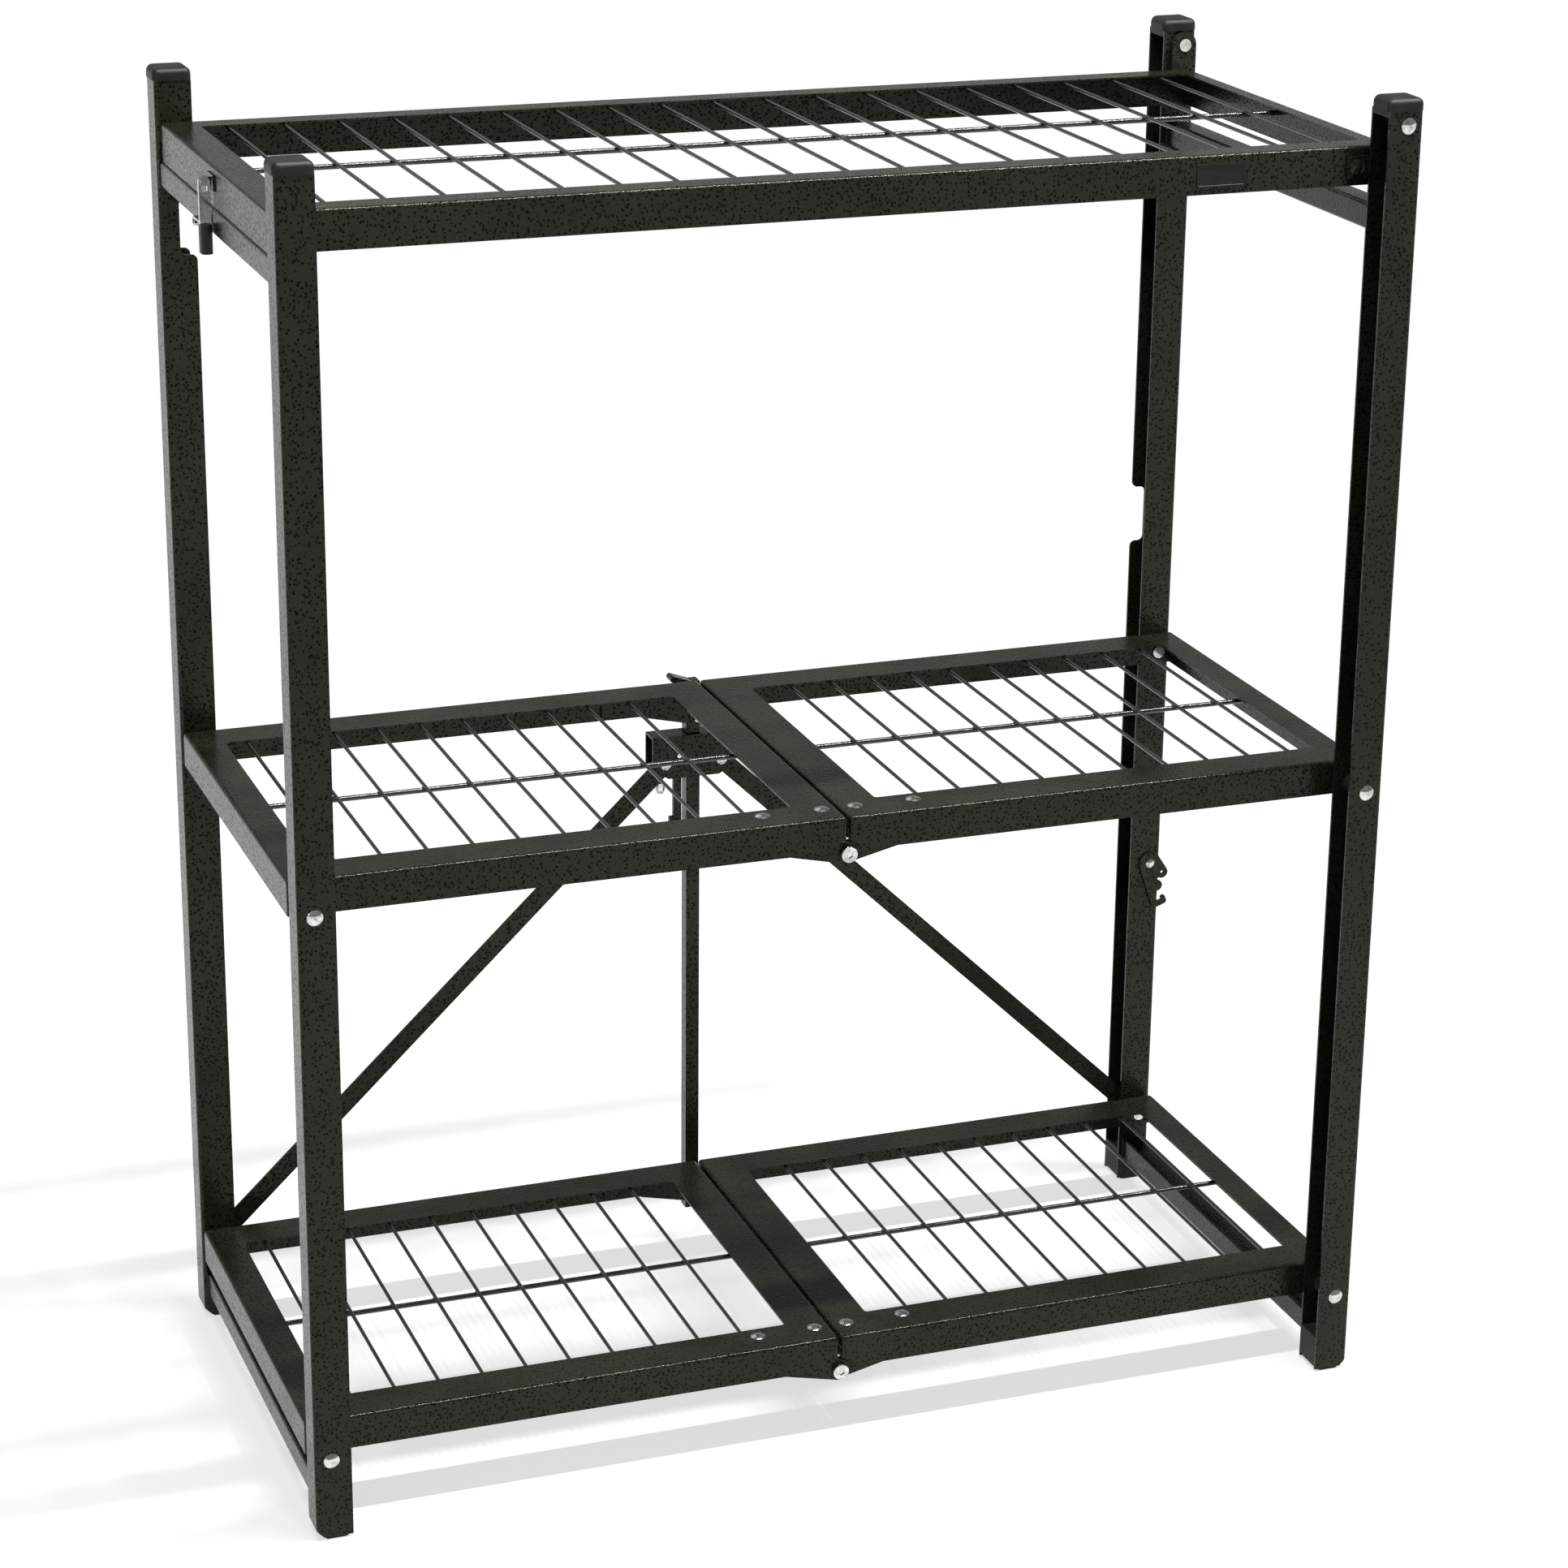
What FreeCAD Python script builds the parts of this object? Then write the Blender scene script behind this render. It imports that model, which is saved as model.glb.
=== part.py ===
import FreeCAD, Part
import math
import os
import re

# Folding three-level rack. X runs along the shelves, Y to the back, Z up, millimetres.
SIZES = {
    # whole rack
    "rack_width": 737.0, "rack_depth": 356.0, "post_top": 882.0,
    "top_drop": 26.0, "mid_level": 442.5, "low_level": 71.0,
    # how far a cutting or joining block runs past the face it works on
    "over": 1.0,
    # channel posts, caps and feet
    "post_side": 24.0, "post_sheet": 1.5, "post_bend": 2.5, "foot_lift": 2.0, "foot_corner": 7.0,
    "foot_height": 26.0, "foot_round": 6.0, "corner_block": 20.0,
    "cap_height": 8.0, "cap_lip": 0.7, "cap_round": 4.5, "cap_plug": 4.0,
    "left_notch_low": 768.0, "left_notch_high": 805.0, "left_notch_deep": 11.0,
    "right_notch_low": 506.0, "right_notch_high": 547.0, "right_notch_deep": 10.0, "notch_round": 4.0,
    # tubes joining the posts of one side
    "tube_side": 17.5, "tube_sheet": 1.5, "low_tube_base": 18.0, "low_tube_inset": 3.0,
    "right_tube_drop": 55.0, "tube_play": 0.2, "high_tube_inset": 1.5,
    # pressed shelf trays
    "shelf_play": 4.0, "tray_drop": 23.0, "top_tray_drop": 25.0, "tray_sheet": 1.2, "tray_bend": 2.4,
    "half_end_inset": 0.5, "half_gap": 1.0, "flange_side": 30.0, "flange_end": 22.0, "flange_centre": 28.0,
    "top_left_inset": 2.5, "top_right_inset": 6.5, "top_flange_side": 20.0, "top_flange_right": 12.0,
    "window_deep": 10.0,
    # shelf wires
    "wire_radius": 1.25, "long_wire_radius": 1.75, "wire_pitch": 30.0, "wire_start": 16.0,
    "wire_lap": 4.0, "wire_clear": 0.5, "weld": 0.3,
    # outer pivots
    "pivot_inset": 11.0, "pivot_drop": 14.5, "top_pivot_inset": 10.0, "top_pivot_rise": 16.5,
    "pin_radius": 3.0, "pin_play": 0.05, "head_radius": 5.2, "head_rise": 2.0, "low_head_rise": 1.6,
    "collar_radius": 5.5, "flare_radius": 4.4, "flare_thick": 1.4, "side_play": 0.2, "spacer_radius": 6.0,
    # centre hinges
    "centre_drop": 25.0, "hinge_cut": 9.0, "relief_deep": 11.0, "hinge_eye": 7.5, "hinge_sheet": 2.0,
    "hinge_long": 72.0, "hinge_inset": 1.0, "hinge_lift": 3.0, "arm_long": 43.2,
    "leg_play": 0.4, "hinge_tilt": 13.0, "bolt_head": 5.5, "bolt_rise": 3.8, "stay_head": 2.6,
    "nut_radius": 5.2, "nut_thick": 3.2, "rivet_radius": 5.0, "rivet_rise": 1.6, "rivet_inset": 20.0,
    "rivet_near": 11.5, "rivet_far": 52.0,
    # top shelf ears
    "ear_sheet": 2.0, "ear_eye": 9.0, "ear_reach": 28.0, "ear_drop": 20.0, "ear_high": 14.0,
    "ear_rivet_in": 7.0,
    # back mechanism
    "stay_side": 10.0, "stay_tail": 18.0, "stay_rise": 20.5, "tab_long": 17.0, "tab_thick": 4.5,
    "tab_round": 2.0, "tab_lean": 70.0, "tab_root": 1.5, "tab_sink": 4.6,
    "slider_half": 31.0, "slider_drop": 43.5, "slider_high": 31.5, "slider_gap": 2.0, "slider_sheet": 1.2,
    "slider_play": 0.4, "slider_rivet": 3.8, "slider_rivet_rise": 1.2, "stay_shift": 1.0,
    "slider_bevel_long": 12.0, "slider_bevel_high": 7.0,
    "brace_wide": 13.0, "brace_thick": 2.5, "brace_play": 0.5, "brace_half": 21.0, "brace_up": 10.5,
    "lever_x": 11.0, "lever_wide": 6.0, "lever_thick": 3.0, "lever_back": 2.0, "lever_long": 51.0,
    "lever_drop": 15.0, "lever_pin": 1.5, "lever_toe": 4.0,
    "plunger_x": 22.0, "plunger_radius": 3.9, "plunger_play": 0.3, "plunger_out": 14.0,
    # side hook
    "hook_inset": 8.5, "hook_level": 260.0, "hook_eye": 8.6, "hook_play": 0.2, "hook_thick": 1.8,
    "hook_pin": 2.2, "hook_head": 3.4, "hook_head_rise": 1.2, "hook_tail": 4.0, "hook_tilt": 19.4,
    "hook_neck": 5.0, "hook_long": 36.0, "hook_lobe": 4.6, "lobe_out": 6.835, "lobe_down": 11.0,
    "lobe_hole": 1.2, "shoulder_in": 1.5, "fill_in": 2.0, "small_lobe": 4.2, "small_lobe_down": 19.5,
    "toe_out": 1.3, "toe_high": 4.4, "toe_tip": 1.9, "toe_rise": 0.8,
    # end latch
    "latch_out": 2.6, "latch_drop": 10.0, "latch_half": 1.5, "latch_long": 40.0, "latch_eye": 3.6,
    "latch_pin": 1.75, "eye_slot": 5.0, "tang_half": 2.2, "curl_reach": 20.0, "curl_sheet": 1.4,
    "curl_half": 3.2, "curl_radius": 3.2, "curl_bore": 1.8,
    "bracket_half": 8.0, "bracket_sheet": 1.2, "bracket_low": 5.0, "bracket_high": 5.0,
    "latch_ear_out": 2.4, "latch_ear_gap": 0.3, "latch_ear_sheet": 1.2, "latch_ear_half": 2.4,
    "rod_head": 0.8, "rod_lip": 0.8, "pull_half": 6.0, "pull_over": 4.0, "pull_high_side": 18.0,
    "pull_round": 3.3, "stud_radius": 1.4, "stud_drop": 4.5,
}

# Places that follow from the sizes
DERIVED = {
    "top_level": "post_top-top_drop",
    "shelf_half": "rack_depth/2-post_side-shelf_play",
    "left_leg": "shelf_half-tray_sheet-side_play",
    "right_leg": "left_leg-hinge_sheet-leg_play",
    "rivet_row": "shelf_half-rivet_inset",
    "right_tube_base": "top_level-right_tube_drop",
    "left_tube_base": "top_level-top_tray_drop-tube_side-tube_play",
    "slider_front": "rack_depth/2-post_side+post_sheet+slider_gap",
    "slider_back": "rack_depth/2-post_sheet-slider_gap",
    "slider_top": "mid_level-slider_drop",
    "slider_base": "slider_top-slider_high",
    "stay_front": "(slider_front+slider_back)/2-stay_side/2-stay_shift",
    "brace_front": "slider_front+slider_sheet+brace_play",
    "brace_level": "slider_base+brace_up",
    "lever_front": "stay_front+lever_back",
    "lever_level": "slider_top-lever_drop",
    "lever_low": "lever_level-lever_long",
    "plunger_y": "slider_back-slider_sheet-plunger_radius-plunger_play",
    "plunger_low": "slider_base-plunger_out",
    "hook_front": "rack_depth/2-post_side-hook_thick-hook_play",
    "lobe_reach": "sqrt(lobe_out^2+lobe_down^2)",
    "cheek_lean": "atan(lobe_out/lobe_down)-asin((hook_eye-hook_lobe)/lobe_reach)",
    "latch_level": "top_level-latch_drop",
    "strap_low": "latch_level-latch_long",
    "latch_ear": "latch_half+latch_ear_gap+latch_ear_sheet",
    "pull_low": "strap_low-pull_over",
    "pull_high": "pull_low+pull_high_side",
}

# Positions used again and again
OUT = "rack_width/2"
POST_IN = "rack_width/2-post_side"
WALL_IN = "rack_depth/2-post_side"
WALL_OUT = "rack_depth/2"
PIVOT = "rack_width/2-pivot_inset"
TOP_PIVOT = "rack_width/2-top_pivot_inset"
TOP_PIVOT_Z = "top_level+top_pivot_rise"
FLANGE_IN = "shelf_half-tray_sheet"
LATCH_X = "-rack_width/2-latch_out"
TOP_WIRES = 19

doc = FreeCAD.newDocument("folding_rack")
sheet = doc.addObject("Spreadsheet::Sheet", "size")
for row, (alias, number) in enumerate(SIZES.items(), start=1):
    sheet.set(f"A{row}", alias)
    sheet.set(f"B{row}", str(number))
    sheet.setAlias(f"B{row}", alias)
doc.recompute()

X_AXIS = FreeCAD.Vector(1, 0, 0)
Y_AXIS = FreeCAD.Vector(0, 1, 0)
TURNS = {
    "+x": FreeCAD.Rotation(Y_AXIS, 90), "-x": FreeCAD.Rotation(Y_AXIS, -90),
    "+y": FreeCAD.Rotation(X_AXIS, -90), "-y": FreeCAD.Rotation(X_AXIS, 90),
    "+z": FreeCAD.Rotation(),
}
nodes = {}


def cells(text):
    """Point every size name in an expression at its sheet cell and write derived places out in full."""
    def swap(word):
        name = word.group()
        if name in DERIVED:
            return "(" + cells(DERIVED[name]) + ")"
        return "size." + name if name in SIZES else name
    return re.sub(r"[a-z_]+", swap, text)


def value(text):
    """Work an expression out as a number."""
    return float(sheet.evalExpression(cells(text)))


def bind(item, prop, text):
    item.setExpression(prop, cells(text))


def place(item, x, y, z, turn=None):
    if turn is not None:
        item.Placement = FreeCAD.Placement(FreeCAD.Vector(), turn)
    for axis, text in zip("xyz", (x, y, z)):
        bind(item, f"Placement.Base.{axis}", text)


def span(sign, near_end, far_end):
    """Range from near to far on the given side of the middle, low end first."""
    if sign > 0:
        return near_end, far_end
    return f"-({far_end})", f"-({near_end})"


def on_side(sign, text):
    return text if sign > 0 else f"-({text})"


def box(xs, ys, zs):
    item = doc.addObject("Part::Box", "block")
    for prop, (low, high) in zip(("Length", "Width", "Height"), (xs, ys, zs)):
        bind(item, prop, f"({high})-({low})")
    place(item, xs[0], ys[0], zs[0])
    return item


def rod(axis, radius, ends, first, second):
    """Round bar along an axis; first and second are its other two coordinates in xyz order."""
    item = doc.addObject("Part::Cylinder", "round_bar")
    bind(item, "Radius", radius)
    bind(item, "Height", f"({ends[1]})-({ends[0]})")
    spot = {"x": (ends[0], first, second), "y": (first, ends[0], second), "z": (first, second, ends[0])}[axis]
    place(item, *spot, turn=TURNS["+" + axis])
    return item


def dome(facing, radius, rise, x, y, z):
    """Domed rivet head standing on the point given."""
    ball = f"(({radius})^2+({rise})^2)/(2*({rise}))"
    item = doc.addObject("Part::Sphere", "dome")
    bind(item, "Radius", ball)
    bind(item, "Angle1", f"asin(({ball}-({rise}))/({ball}))")
    spot = {"x": x, "y": y, "z": z}
    back = "-" if facing[0] == "+" else "+"
    spot[facing[1]] = f"({spot[facing[1]]}){back}({ball}-({rise}))"
    place(item, spot["x"], spot["y"], spot["z"], turn=TURNS[facing])
    return item


def fuse(*pieces):
    item = doc.addObject("Part::MultiFuse", "union")
    item.Shapes = list(pieces)
    item.Refine = True
    return item


def cut(base, *tools):
    item = doc.addObject("Part::Cut", "cut")
    item.Base = base
    item.Tool = tools[0] if len(tools) == 1 else fuse(*tools)
    return item


def group(*pieces):
    item = doc.addObject("Part::Compound", "set")
    item.Links = list(pieces)
    return item


def same(first, second):
    return abs(first - second) < 1e-3


def bend(base, radius, chosen):
    """Round the edges picked by a test on an edge's box and the whole piece's box."""
    doc.recompute()
    whole = base.Shape.BoundBox
    size = value(radius)
    item = doc.addObject("Part::Fillet", "bend")
    item.Base = base
    item.Edges = [
        (number, size, size)
        for number, edge in enumerate(base.Shape.Edges, start=1)
        if chosen(edge.BoundBox, whole)
    ]
    return item


def on_top(edge, whole):
    return same(edge.ZMin, whole.ZMax)


def upright(edge):
    return not same(edge.ZLength, 0) and same(edge.XLength, 0) and same(edge.YLength, 0)


def node(name, item):
    item.Label = name
    nodes[name] = item


def foot_corner_tool(side):
    """Turned block that takes the outer lower corner off a post or foot."""
    item = doc.addObject("Part::Box", "corner_tool")
    bind(item, "Length", "corner_block")
    bind(item, "Height", "corner_block")
    bind(item, "Width", "rack_depth+corner_block")
    half = "corner_block/2*sqrt(0.5)"
    turn = FreeCAD.Rotation(Y_AXIS, 45 if side > 0 else 135)
    x = f"({on_side(side, OUT + '-foot_corner/2')})-{half}"
    z = "foot_corner/2-" + half if side > 0 else "foot_corner/2+" + half
    place(item, x, "-rack_depth/2-corner_block/2", z, turn=turn)
    return item


def post(side, face):
    """Channel post with its open side towards the shelves, drilled for the pivots."""
    outer = box(span(side, POST_IN, OUT), span(face, WALL_IN, WALL_OUT), ("foot_lift", "post_top"))
    outer = bend(outer, "post_bend", lambda edge, whole: upright(edge) and same(
        edge.XMax, whole.XMax if side > 0 else whole.XMin))
    hollow = box(span(side, POST_IN + "-over", OUT + "-post_sheet"),
                 span(face, WALL_IN + "+post_sheet", WALL_OUT + "-post_sheet"), ("-over", "post_top+over"))
    through = span(face, WALL_IN + "-over", WALL_OUT + "+over")
    inner_wall = span(face, WALL_IN + "-over", WALL_IN + "+post_sheet+over")
    pivot = on_side(side, PIVOT)
    tools = [hollow, foot_corner_tool(side),
             rod("y", "pin_radius", through, pivot, "low_level-pivot_drop"),
             rod("y", "pin_radius", through if face < 0 else inner_wall, pivot, "mid_level-pivot_drop")]
    if side > 0:
        tools.append(rod("y", "pin_radius", through if face < 0 else inner_wall, TOP_PIVOT, TOP_PIVOT_Z))
    if side > 0 and face > 0:
        tools.append(rod("y", "hook_pin", inner_wall, OUT + "-hook_inset", "hook_level"))
        tools.append(box((POST_IN + "-over", POST_IN + "+right_notch_deep"),
                         (WALL_OUT + "-post_sheet-over", WALL_OUT + "+over"),
                         ("right_notch_low", "right_notch_high")))
    if side < 0 and face > 0:
        tools.append(box(span(side, POST_IN + "-over", POST_IN + "+left_notch_deep"), through,
                         ("left_notch_low", "left_notch_high")))
    drilled = cut(outer, *tools)
    if face < 0:
        return drilled
    notch = "right_notch" if side > 0 else "left_notch"
    ends = [value(notch + end) for end in ("_low", "_high")]
    return bend(drilled, "notch_round", lambda edge, whole: same(edge.ZLength, 0) and same(edge.XLength, 0)
                and any(same(edge.ZMin, end) for end in ends))


def cap(side, face):
    lid = box(span(side, POST_IN + "-cap_lip", OUT + "+cap_lip"),
              span(face, WALL_IN + "-cap_lip", WALL_OUT + "+cap_lip"), ("post_top", "post_top+cap_height"))
    lid = bend(lid, "cap_round", lambda edge, whole: on_top(edge, whole) or upright(edge))
    plug = box(span(side, POST_IN, OUT + "-post_sheet"),
               span(face, WALL_IN + "+post_sheet", WALL_OUT + "-post_sheet"),
               ("post_top-cap_plug", "post_top+over"))
    return fuse(lid, plug)


def foot(side, face):
    plug = box(span(side, POST_IN, OUT + "-post_sheet"),
               span(face, WALL_IN + "+post_sheet", WALL_OUT + "-post_sheet"), ("0", "foot_height"))
    plug = bend(plug, "foot_round", lambda edge, whole: same(edge.ZMax, whole.ZMin) and same(
        edge.XMin, edge.XMax) and same(edge.XMin, whole.XMin if side > 0 else whole.XMax))
    return cut(plug, foot_corner_tool(side))


def tube(side, inset, base):
    """Square tube welded between the two posts of one side."""
    xs = span(side, f"{OUT}-{inset}-tube_side", f"{OUT}-{inset}")
    hollow = span(side, f"{OUT}-{inset}-tube_side+tube_sheet", f"{OUT}-{inset}-tube_sheet")
    ends = (f"-({WALL_IN})", WALL_IN)
    outer = box(xs, ends, (base, base + "+tube_side"))
    outer = bend(outer, "post_bend", lambda edge, whole: same(edge.YLength, whole.YLength))
    return cut(outer, box(hollow, ends, (base + "+tube_sheet", base + "+tube_side-tube_sheet")))


def pivot_pin(face, x, z, outer, inner, whole_post):
    """Headed pin through a post with a collar against the wall and a flare inside the moving sheet."""
    facing = "+y" if face > 0 else "-y"
    seat = WALL_OUT if whole_post else WALL_IN + "+post_sheet"
    rise = "head_rise" if whole_post else "low_head_rise"
    tail = f"{inner}-side_play-flare_thick"
    return fuse(
        dome(facing, "head_radius", rise, x, on_side(face, seat), z),
        rod("y", "pin_radius", span(face, tail, seat), x, z),
        rod("y", "collar_radius", span(face, outer + "+side_play/2", WALL_IN), x, z),
        rod("y", "flare_radius", span(face, tail, f"{inner}-side_play"), x, z))


def side_pins(side):
    pins = [
        pivot_pin(face, on_side(side, PIVOT), f"{level}-pivot_drop", "shelf_half", FLANGE_IN, whole)
        for face, level, whole in ((-1, "mid_level", True), (1, "mid_level", False),
                                   (-1, "low_level", True), (1, "low_level", True))]
    if side > 0:
        pins += [pivot_pin(face, TOP_PIVOT, TOP_PIVOT_Z, "shelf_half+ear_sheet", "shelf_half", face < 0)
                 for face in (-1, 1)]
    return pins


def side_spacers(side):
    """Sleeves that keep the channel walls apart on the long pins."""
    x = on_side(side, PIVOT)
    spots = [(-1, "mid_level", WALL_IN + "+post_sheet"), (-1, "low_level", WALL_IN + "+post_sheet"),
             (1, "low_level", "brace_front+brace_thick+side_play")]
    pieces = []
    for face, level, near_end in spots:
        ends = span(face, near_end, WALL_OUT + "-post_sheet")
        z = f"{level}-pivot_drop"
        pieces.append(cut(rod("y", "spacer_radius", ends, x, z), rod("y", "pin_radius", ends, x, z)))
    return pieces


def tray(xs, drop, window_xs, window_half, level):
    """Pressed sheet tray, open below, with a window for the wires."""
    outer = box(xs, ("-shelf_half", "shelf_half"), (f"{level}-{drop}", level))
    outer = bend(outer, "tray_bend", lambda edge, whole: on_top(edge, whole) or upright(edge))
    inside = box((xs[0] + "+tray_sheet", xs[1] + "-tray_sheet"), (f"-({FLANGE_IN})", FLANGE_IN),
                 (f"{level}-{drop}-over", f"{level}-tray_sheet"))
    window = box(window_xs, (f"-({window_half})", window_half), (f"{level}-window_deep", f"{level}+over"))
    window = bend(window, "tray_bend", lambda edge, whole: upright(edge))
    return cut(outer, inside, window)


def half_tray(side, level):
    xs = span(side, "half_gap", OUT + "-half_end_inset")
    window = span(side, "half_gap+flange_centre", OUT + "-half_end_inset-flange_end")
    blank = tray(xs, "tray_drop", window, "shelf_half-flange_side", level)
    drilled = rod("y", "pin_radius+pin_play", ("-shelf_half-over", "shelf_half+over"), on_side(side, PIVOT),
                  f"{level}-pivot_drop")
    reliefs = [rod("y", "hinge_cut", span(face, "shelf_half-relief_deep", "shelf_half+over"), "0",
                   f"{level}-centre_drop") for face in (-1, 1)]
    return cut(blank, drilled, *reliefs)


def wire_grid(places, half_length, long_ends, level):
    """Cross wires under the tray flange with one long wire below them."""
    cross_z = f"{level}-tray_sheet-wire_radius"
    long_z = f"{level}-tray_sheet-2*wire_radius-long_wire_radius+weld"
    wires = [rod("y", "wire_radius", (f"-({half_length})", half_length), x, cross_z) for x in places]
    return fuse(rod("x", "long_wire_radius", long_ends, "0", long_z), *wires)


def half_wires(side, level):
    first = OUT + "-half_end_inset-flange_end-wire_start"
    room = value(first + "-half_gap-flange_centre-wire_radius")
    places = [on_side(side, f"{first}-{count}*wire_pitch")
              for count in range(1 + int(room / value("wire_pitch")))]
    ends = span(side, "half_gap+tray_sheet", OUT + "-half_end_inset-tray_sheet")
    return wire_grid(places, "shelf_half-flange_side+wire_lap", ends, level)


def hinge_bracket(side, face, level):
    """Angle bracket under the tray corner that reaches out to the centre pivot."""
    leg = "left_leg" if side < 0 else "right_leg"
    hole = "pin_radius+pin_play" if side < 0 else "pin_radius"
    ys = span(face, leg + "-hinge_sheet", leg)
    pivot_z = f"{level}-centre_drop"
    shelf_leg = box(span(side, "half_gap+tray_sheet+hinge_inset", "hinge_long"),
                    span(face, "shelf_half-flange_side+wire_lap+wire_clear", leg),
                    (f"{level}-tray_sheet-hinge_sheet", f"{level}-tray_sheet"))
    side_leg = box(span(side, "half_gap+tray_sheet+hinge_inset", "hinge_long"), ys,
                   (f"{level}-tray_drop+hinge_lift", f"{level}-tray_sheet"))
    arm = doc.addObject("Part::Box", "arm")
    bind(arm, "Length", "arm_long")
    bind(arm, "Width", "hinge_sheet")
    bind(arm, "Height", "2*hinge_eye")
    tilt = value("hinge_tilt")
    if side > 0:
        turn = FreeCAD.Rotation(Y_AXIS, -tilt)
        spot = ("hinge_eye*sin(hinge_tilt)", f"{pivot_z}-hinge_eye*cos(hinge_tilt)")
    else:
        turn = FreeCAD.Rotation(Y_AXIS, 180 + tilt)
        spot = ("hinge_eye*sin(hinge_tilt)", f"{pivot_z}+hinge_eye*cos(hinge_tilt)")
    place(arm, spot[0], ys[0], spot[1], turn=turn)
    eye = rod("y", "hinge_eye", ys, "0", pivot_z)
    bore = rod("y", hole, (ys[0] + "-over", ys[1] + "+over"), "0", pivot_z)
    return cut(fuse(shelf_leg, side_leg, arm, eye), bore)


def front_bolt(level):
    z = f"{level}-centre_drop"
    seat = "left_leg+side_play/2"
    tail = "right_leg-hinge_sheet"
    return fuse(rod("y", "bolt_head", span(-1, seat, seat + "+bolt_rise"), "0", z),
                rod("y", "pin_radius", span(-1, tail, seat), "0", z),
                rod("y", "nut_radius", span(-1, tail + "-nut_thick", tail), "0", z))


def back_bolt(level):
    """Long bolt that also carries the upright stay behind the shelves."""
    z = f"{level}-centre_drop"
    tail = "right_leg-hinge_sheet"
    seat = "stay_front+stay_side+side_play/2"
    return fuse(rod("y", "nut_radius", (tail + "-nut_thick", tail), "0", z),
                rod("y", "pin_radius", (tail, seat + "+side_play/2"), "0", z),
                rod("y", "collar_radius", ("left_leg+side_play/2", "stay_front-side_play/2"), "0", z),
                rod("y", "bolt_head", (seat, seat + "+stay_head"), "0", z))


def flange_rivets(side, level):
    return [dome("+z", "rivet_radius", "rivet_rise", on_side(side, x), "-rivet_row", level)
            for x in ("rivet_near", "rivet_far")]


def ear(face):
    """Plate on the end of the top tray that lifts its pivot above the shelf."""
    ys = span(face, "shelf_half", "shelf_half+ear_sheet")
    low = ("top_level-ear_drop", "top_level-ear_drop+ear_high")
    riveted = box((f"{TOP_PIVOT}-ear_reach", f"{TOP_PIVOT}+ear_eye"), ys, low)
    rising = box((f"{TOP_PIVOT}-ear_eye", f"{TOP_PIVOT}+ear_eye"), ys, (low[0], TOP_PIVOT_Z))
    eye = rod("y", "ear_eye", ys, TOP_PIVOT, TOP_PIVOT_Z)
    bore = rod("y", "pin_radius+pin_play", (ys[0] + "-over", ys[1] + "+over"), TOP_PIVOT, TOP_PIVOT_Z)
    return cut(fuse(riveted, rising, eye), bore)


def ear_rivet(face):
    facing = "+y" if face > 0 else "-y"
    return dome(facing, "rivet_radius", "rivet_rise", f"{TOP_PIVOT}-ear_reach+ear_rivet_in",
                on_side(face, "shelf_half+ear_sheet"), "top_level-ear_drop+ear_high/2")


def brace(side):
    """Flat bar with an eye on the low back pin and a round end at the slider."""
    ys = ("brace_front", "brace_front+brace_thick")
    low_z = "low_level-pivot_drop"
    rise = f"(brace_level-({low_z}))"
    run = f"({PIVOT}-brace_half)"
    lean = f"atan({rise}/{run})"
    flat = doc.addObject("Part::Box", "flat")
    bind(flat, "Length", f"sqrt({rise}^2+{run}^2)")
    bind(flat, "Width", "brace_thick")
    bind(flat, "Height", "brace_wide")
    angle = math.degrees(math.atan2(value(rise), value(run)))
    if side > 0:
        place(flat, f"{PIVOT}+brace_wide/2*sin({lean})", ys[0], f"{low_z}+brace_wide/2*cos({lean})",
              turn=FreeCAD.Rotation(Y_AXIS, 180 + angle))
    else:
        place(flat, f"-({PIVOT})+brace_wide/2*sin({lean})", ys[0], f"{low_z}-brace_wide/2*cos({lean})",
              turn=FreeCAD.Rotation(Y_AXIS, -angle))
    foot_eye = rod("y", "brace_wide/2", ys, on_side(side, PIVOT), low_z)
    head_eye = rod("y", "brace_wide/2", ys, on_side(side, "brace_half"), "brace_level")
    bore = rod("y", "pin_radius+pin_play", (ys[0] + "-over", ys[1] + "+over"), on_side(side, PIVOT), low_z)
    return cut(fuse(flat, foot_eye, head_eye), bore)


def stay():
    """Square bar behind the shelves, hung on both centre hinges, with a leaning tab at its top."""
    ys = ("stay_front", "stay_front+stay_side")
    top = "mid_level-centre_drop+stay_rise"
    bar = box(("-stay_side/2", "stay_side/2"), ys, ("low_level-centre_drop-stay_tail", top))
    tab = box(("0", "tab_thick"), ys, ("0", "tab_long"))
    place(tab, "-tab_root", "stay_front", top + "-tab_sink",
          turn=FreeCAD.Rotation(Y_AXIS, -value("tab_lean")))
    tab = bend(tab, "tab_round", lambda edge, whole: same(edge.YLength, whole.YLength) and (
        same(edge.XMax, whole.XMin) or same(edge.ZMin, whole.ZMax)))
    bores = [rod("y", "pin_radius+pin_play", (ys[0] + "-over", ys[1] + "+over"), "0", f"{level}-centre_drop")
             for level in ("mid_level", "low_level")]
    return cut(fuse(bar, tab), *bores)


def bevel_tool(side):
    """Turned block that takes a lower corner off the slider."""
    slope = "atan(slider_bevel_high/slider_bevel_long)"
    angle = value(slope)
    sink = "2*slider_bevel_high"
    block = box(("0", "3*slider_bevel_long"), ("slider_front-over", "slider_back+over"), ("0", sink))
    if side > 0:
        place(block, f"slider_half-slider_bevel_long+{sink}*sin({slope})", "slider_front-over",
              f"slider_base-{sink}*cos({slope})", turn=FreeCAD.Rotation(Y_AXIS, -angle))
    else:
        place(block, f"-slider_half-{sink}*sin({slope})", "slider_front-over",
              f"slider_base+slider_bevel_high-{sink}*cos({slope})", turn=FreeCAD.Rotation(Y_AXIS, angle))
    return block


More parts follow.
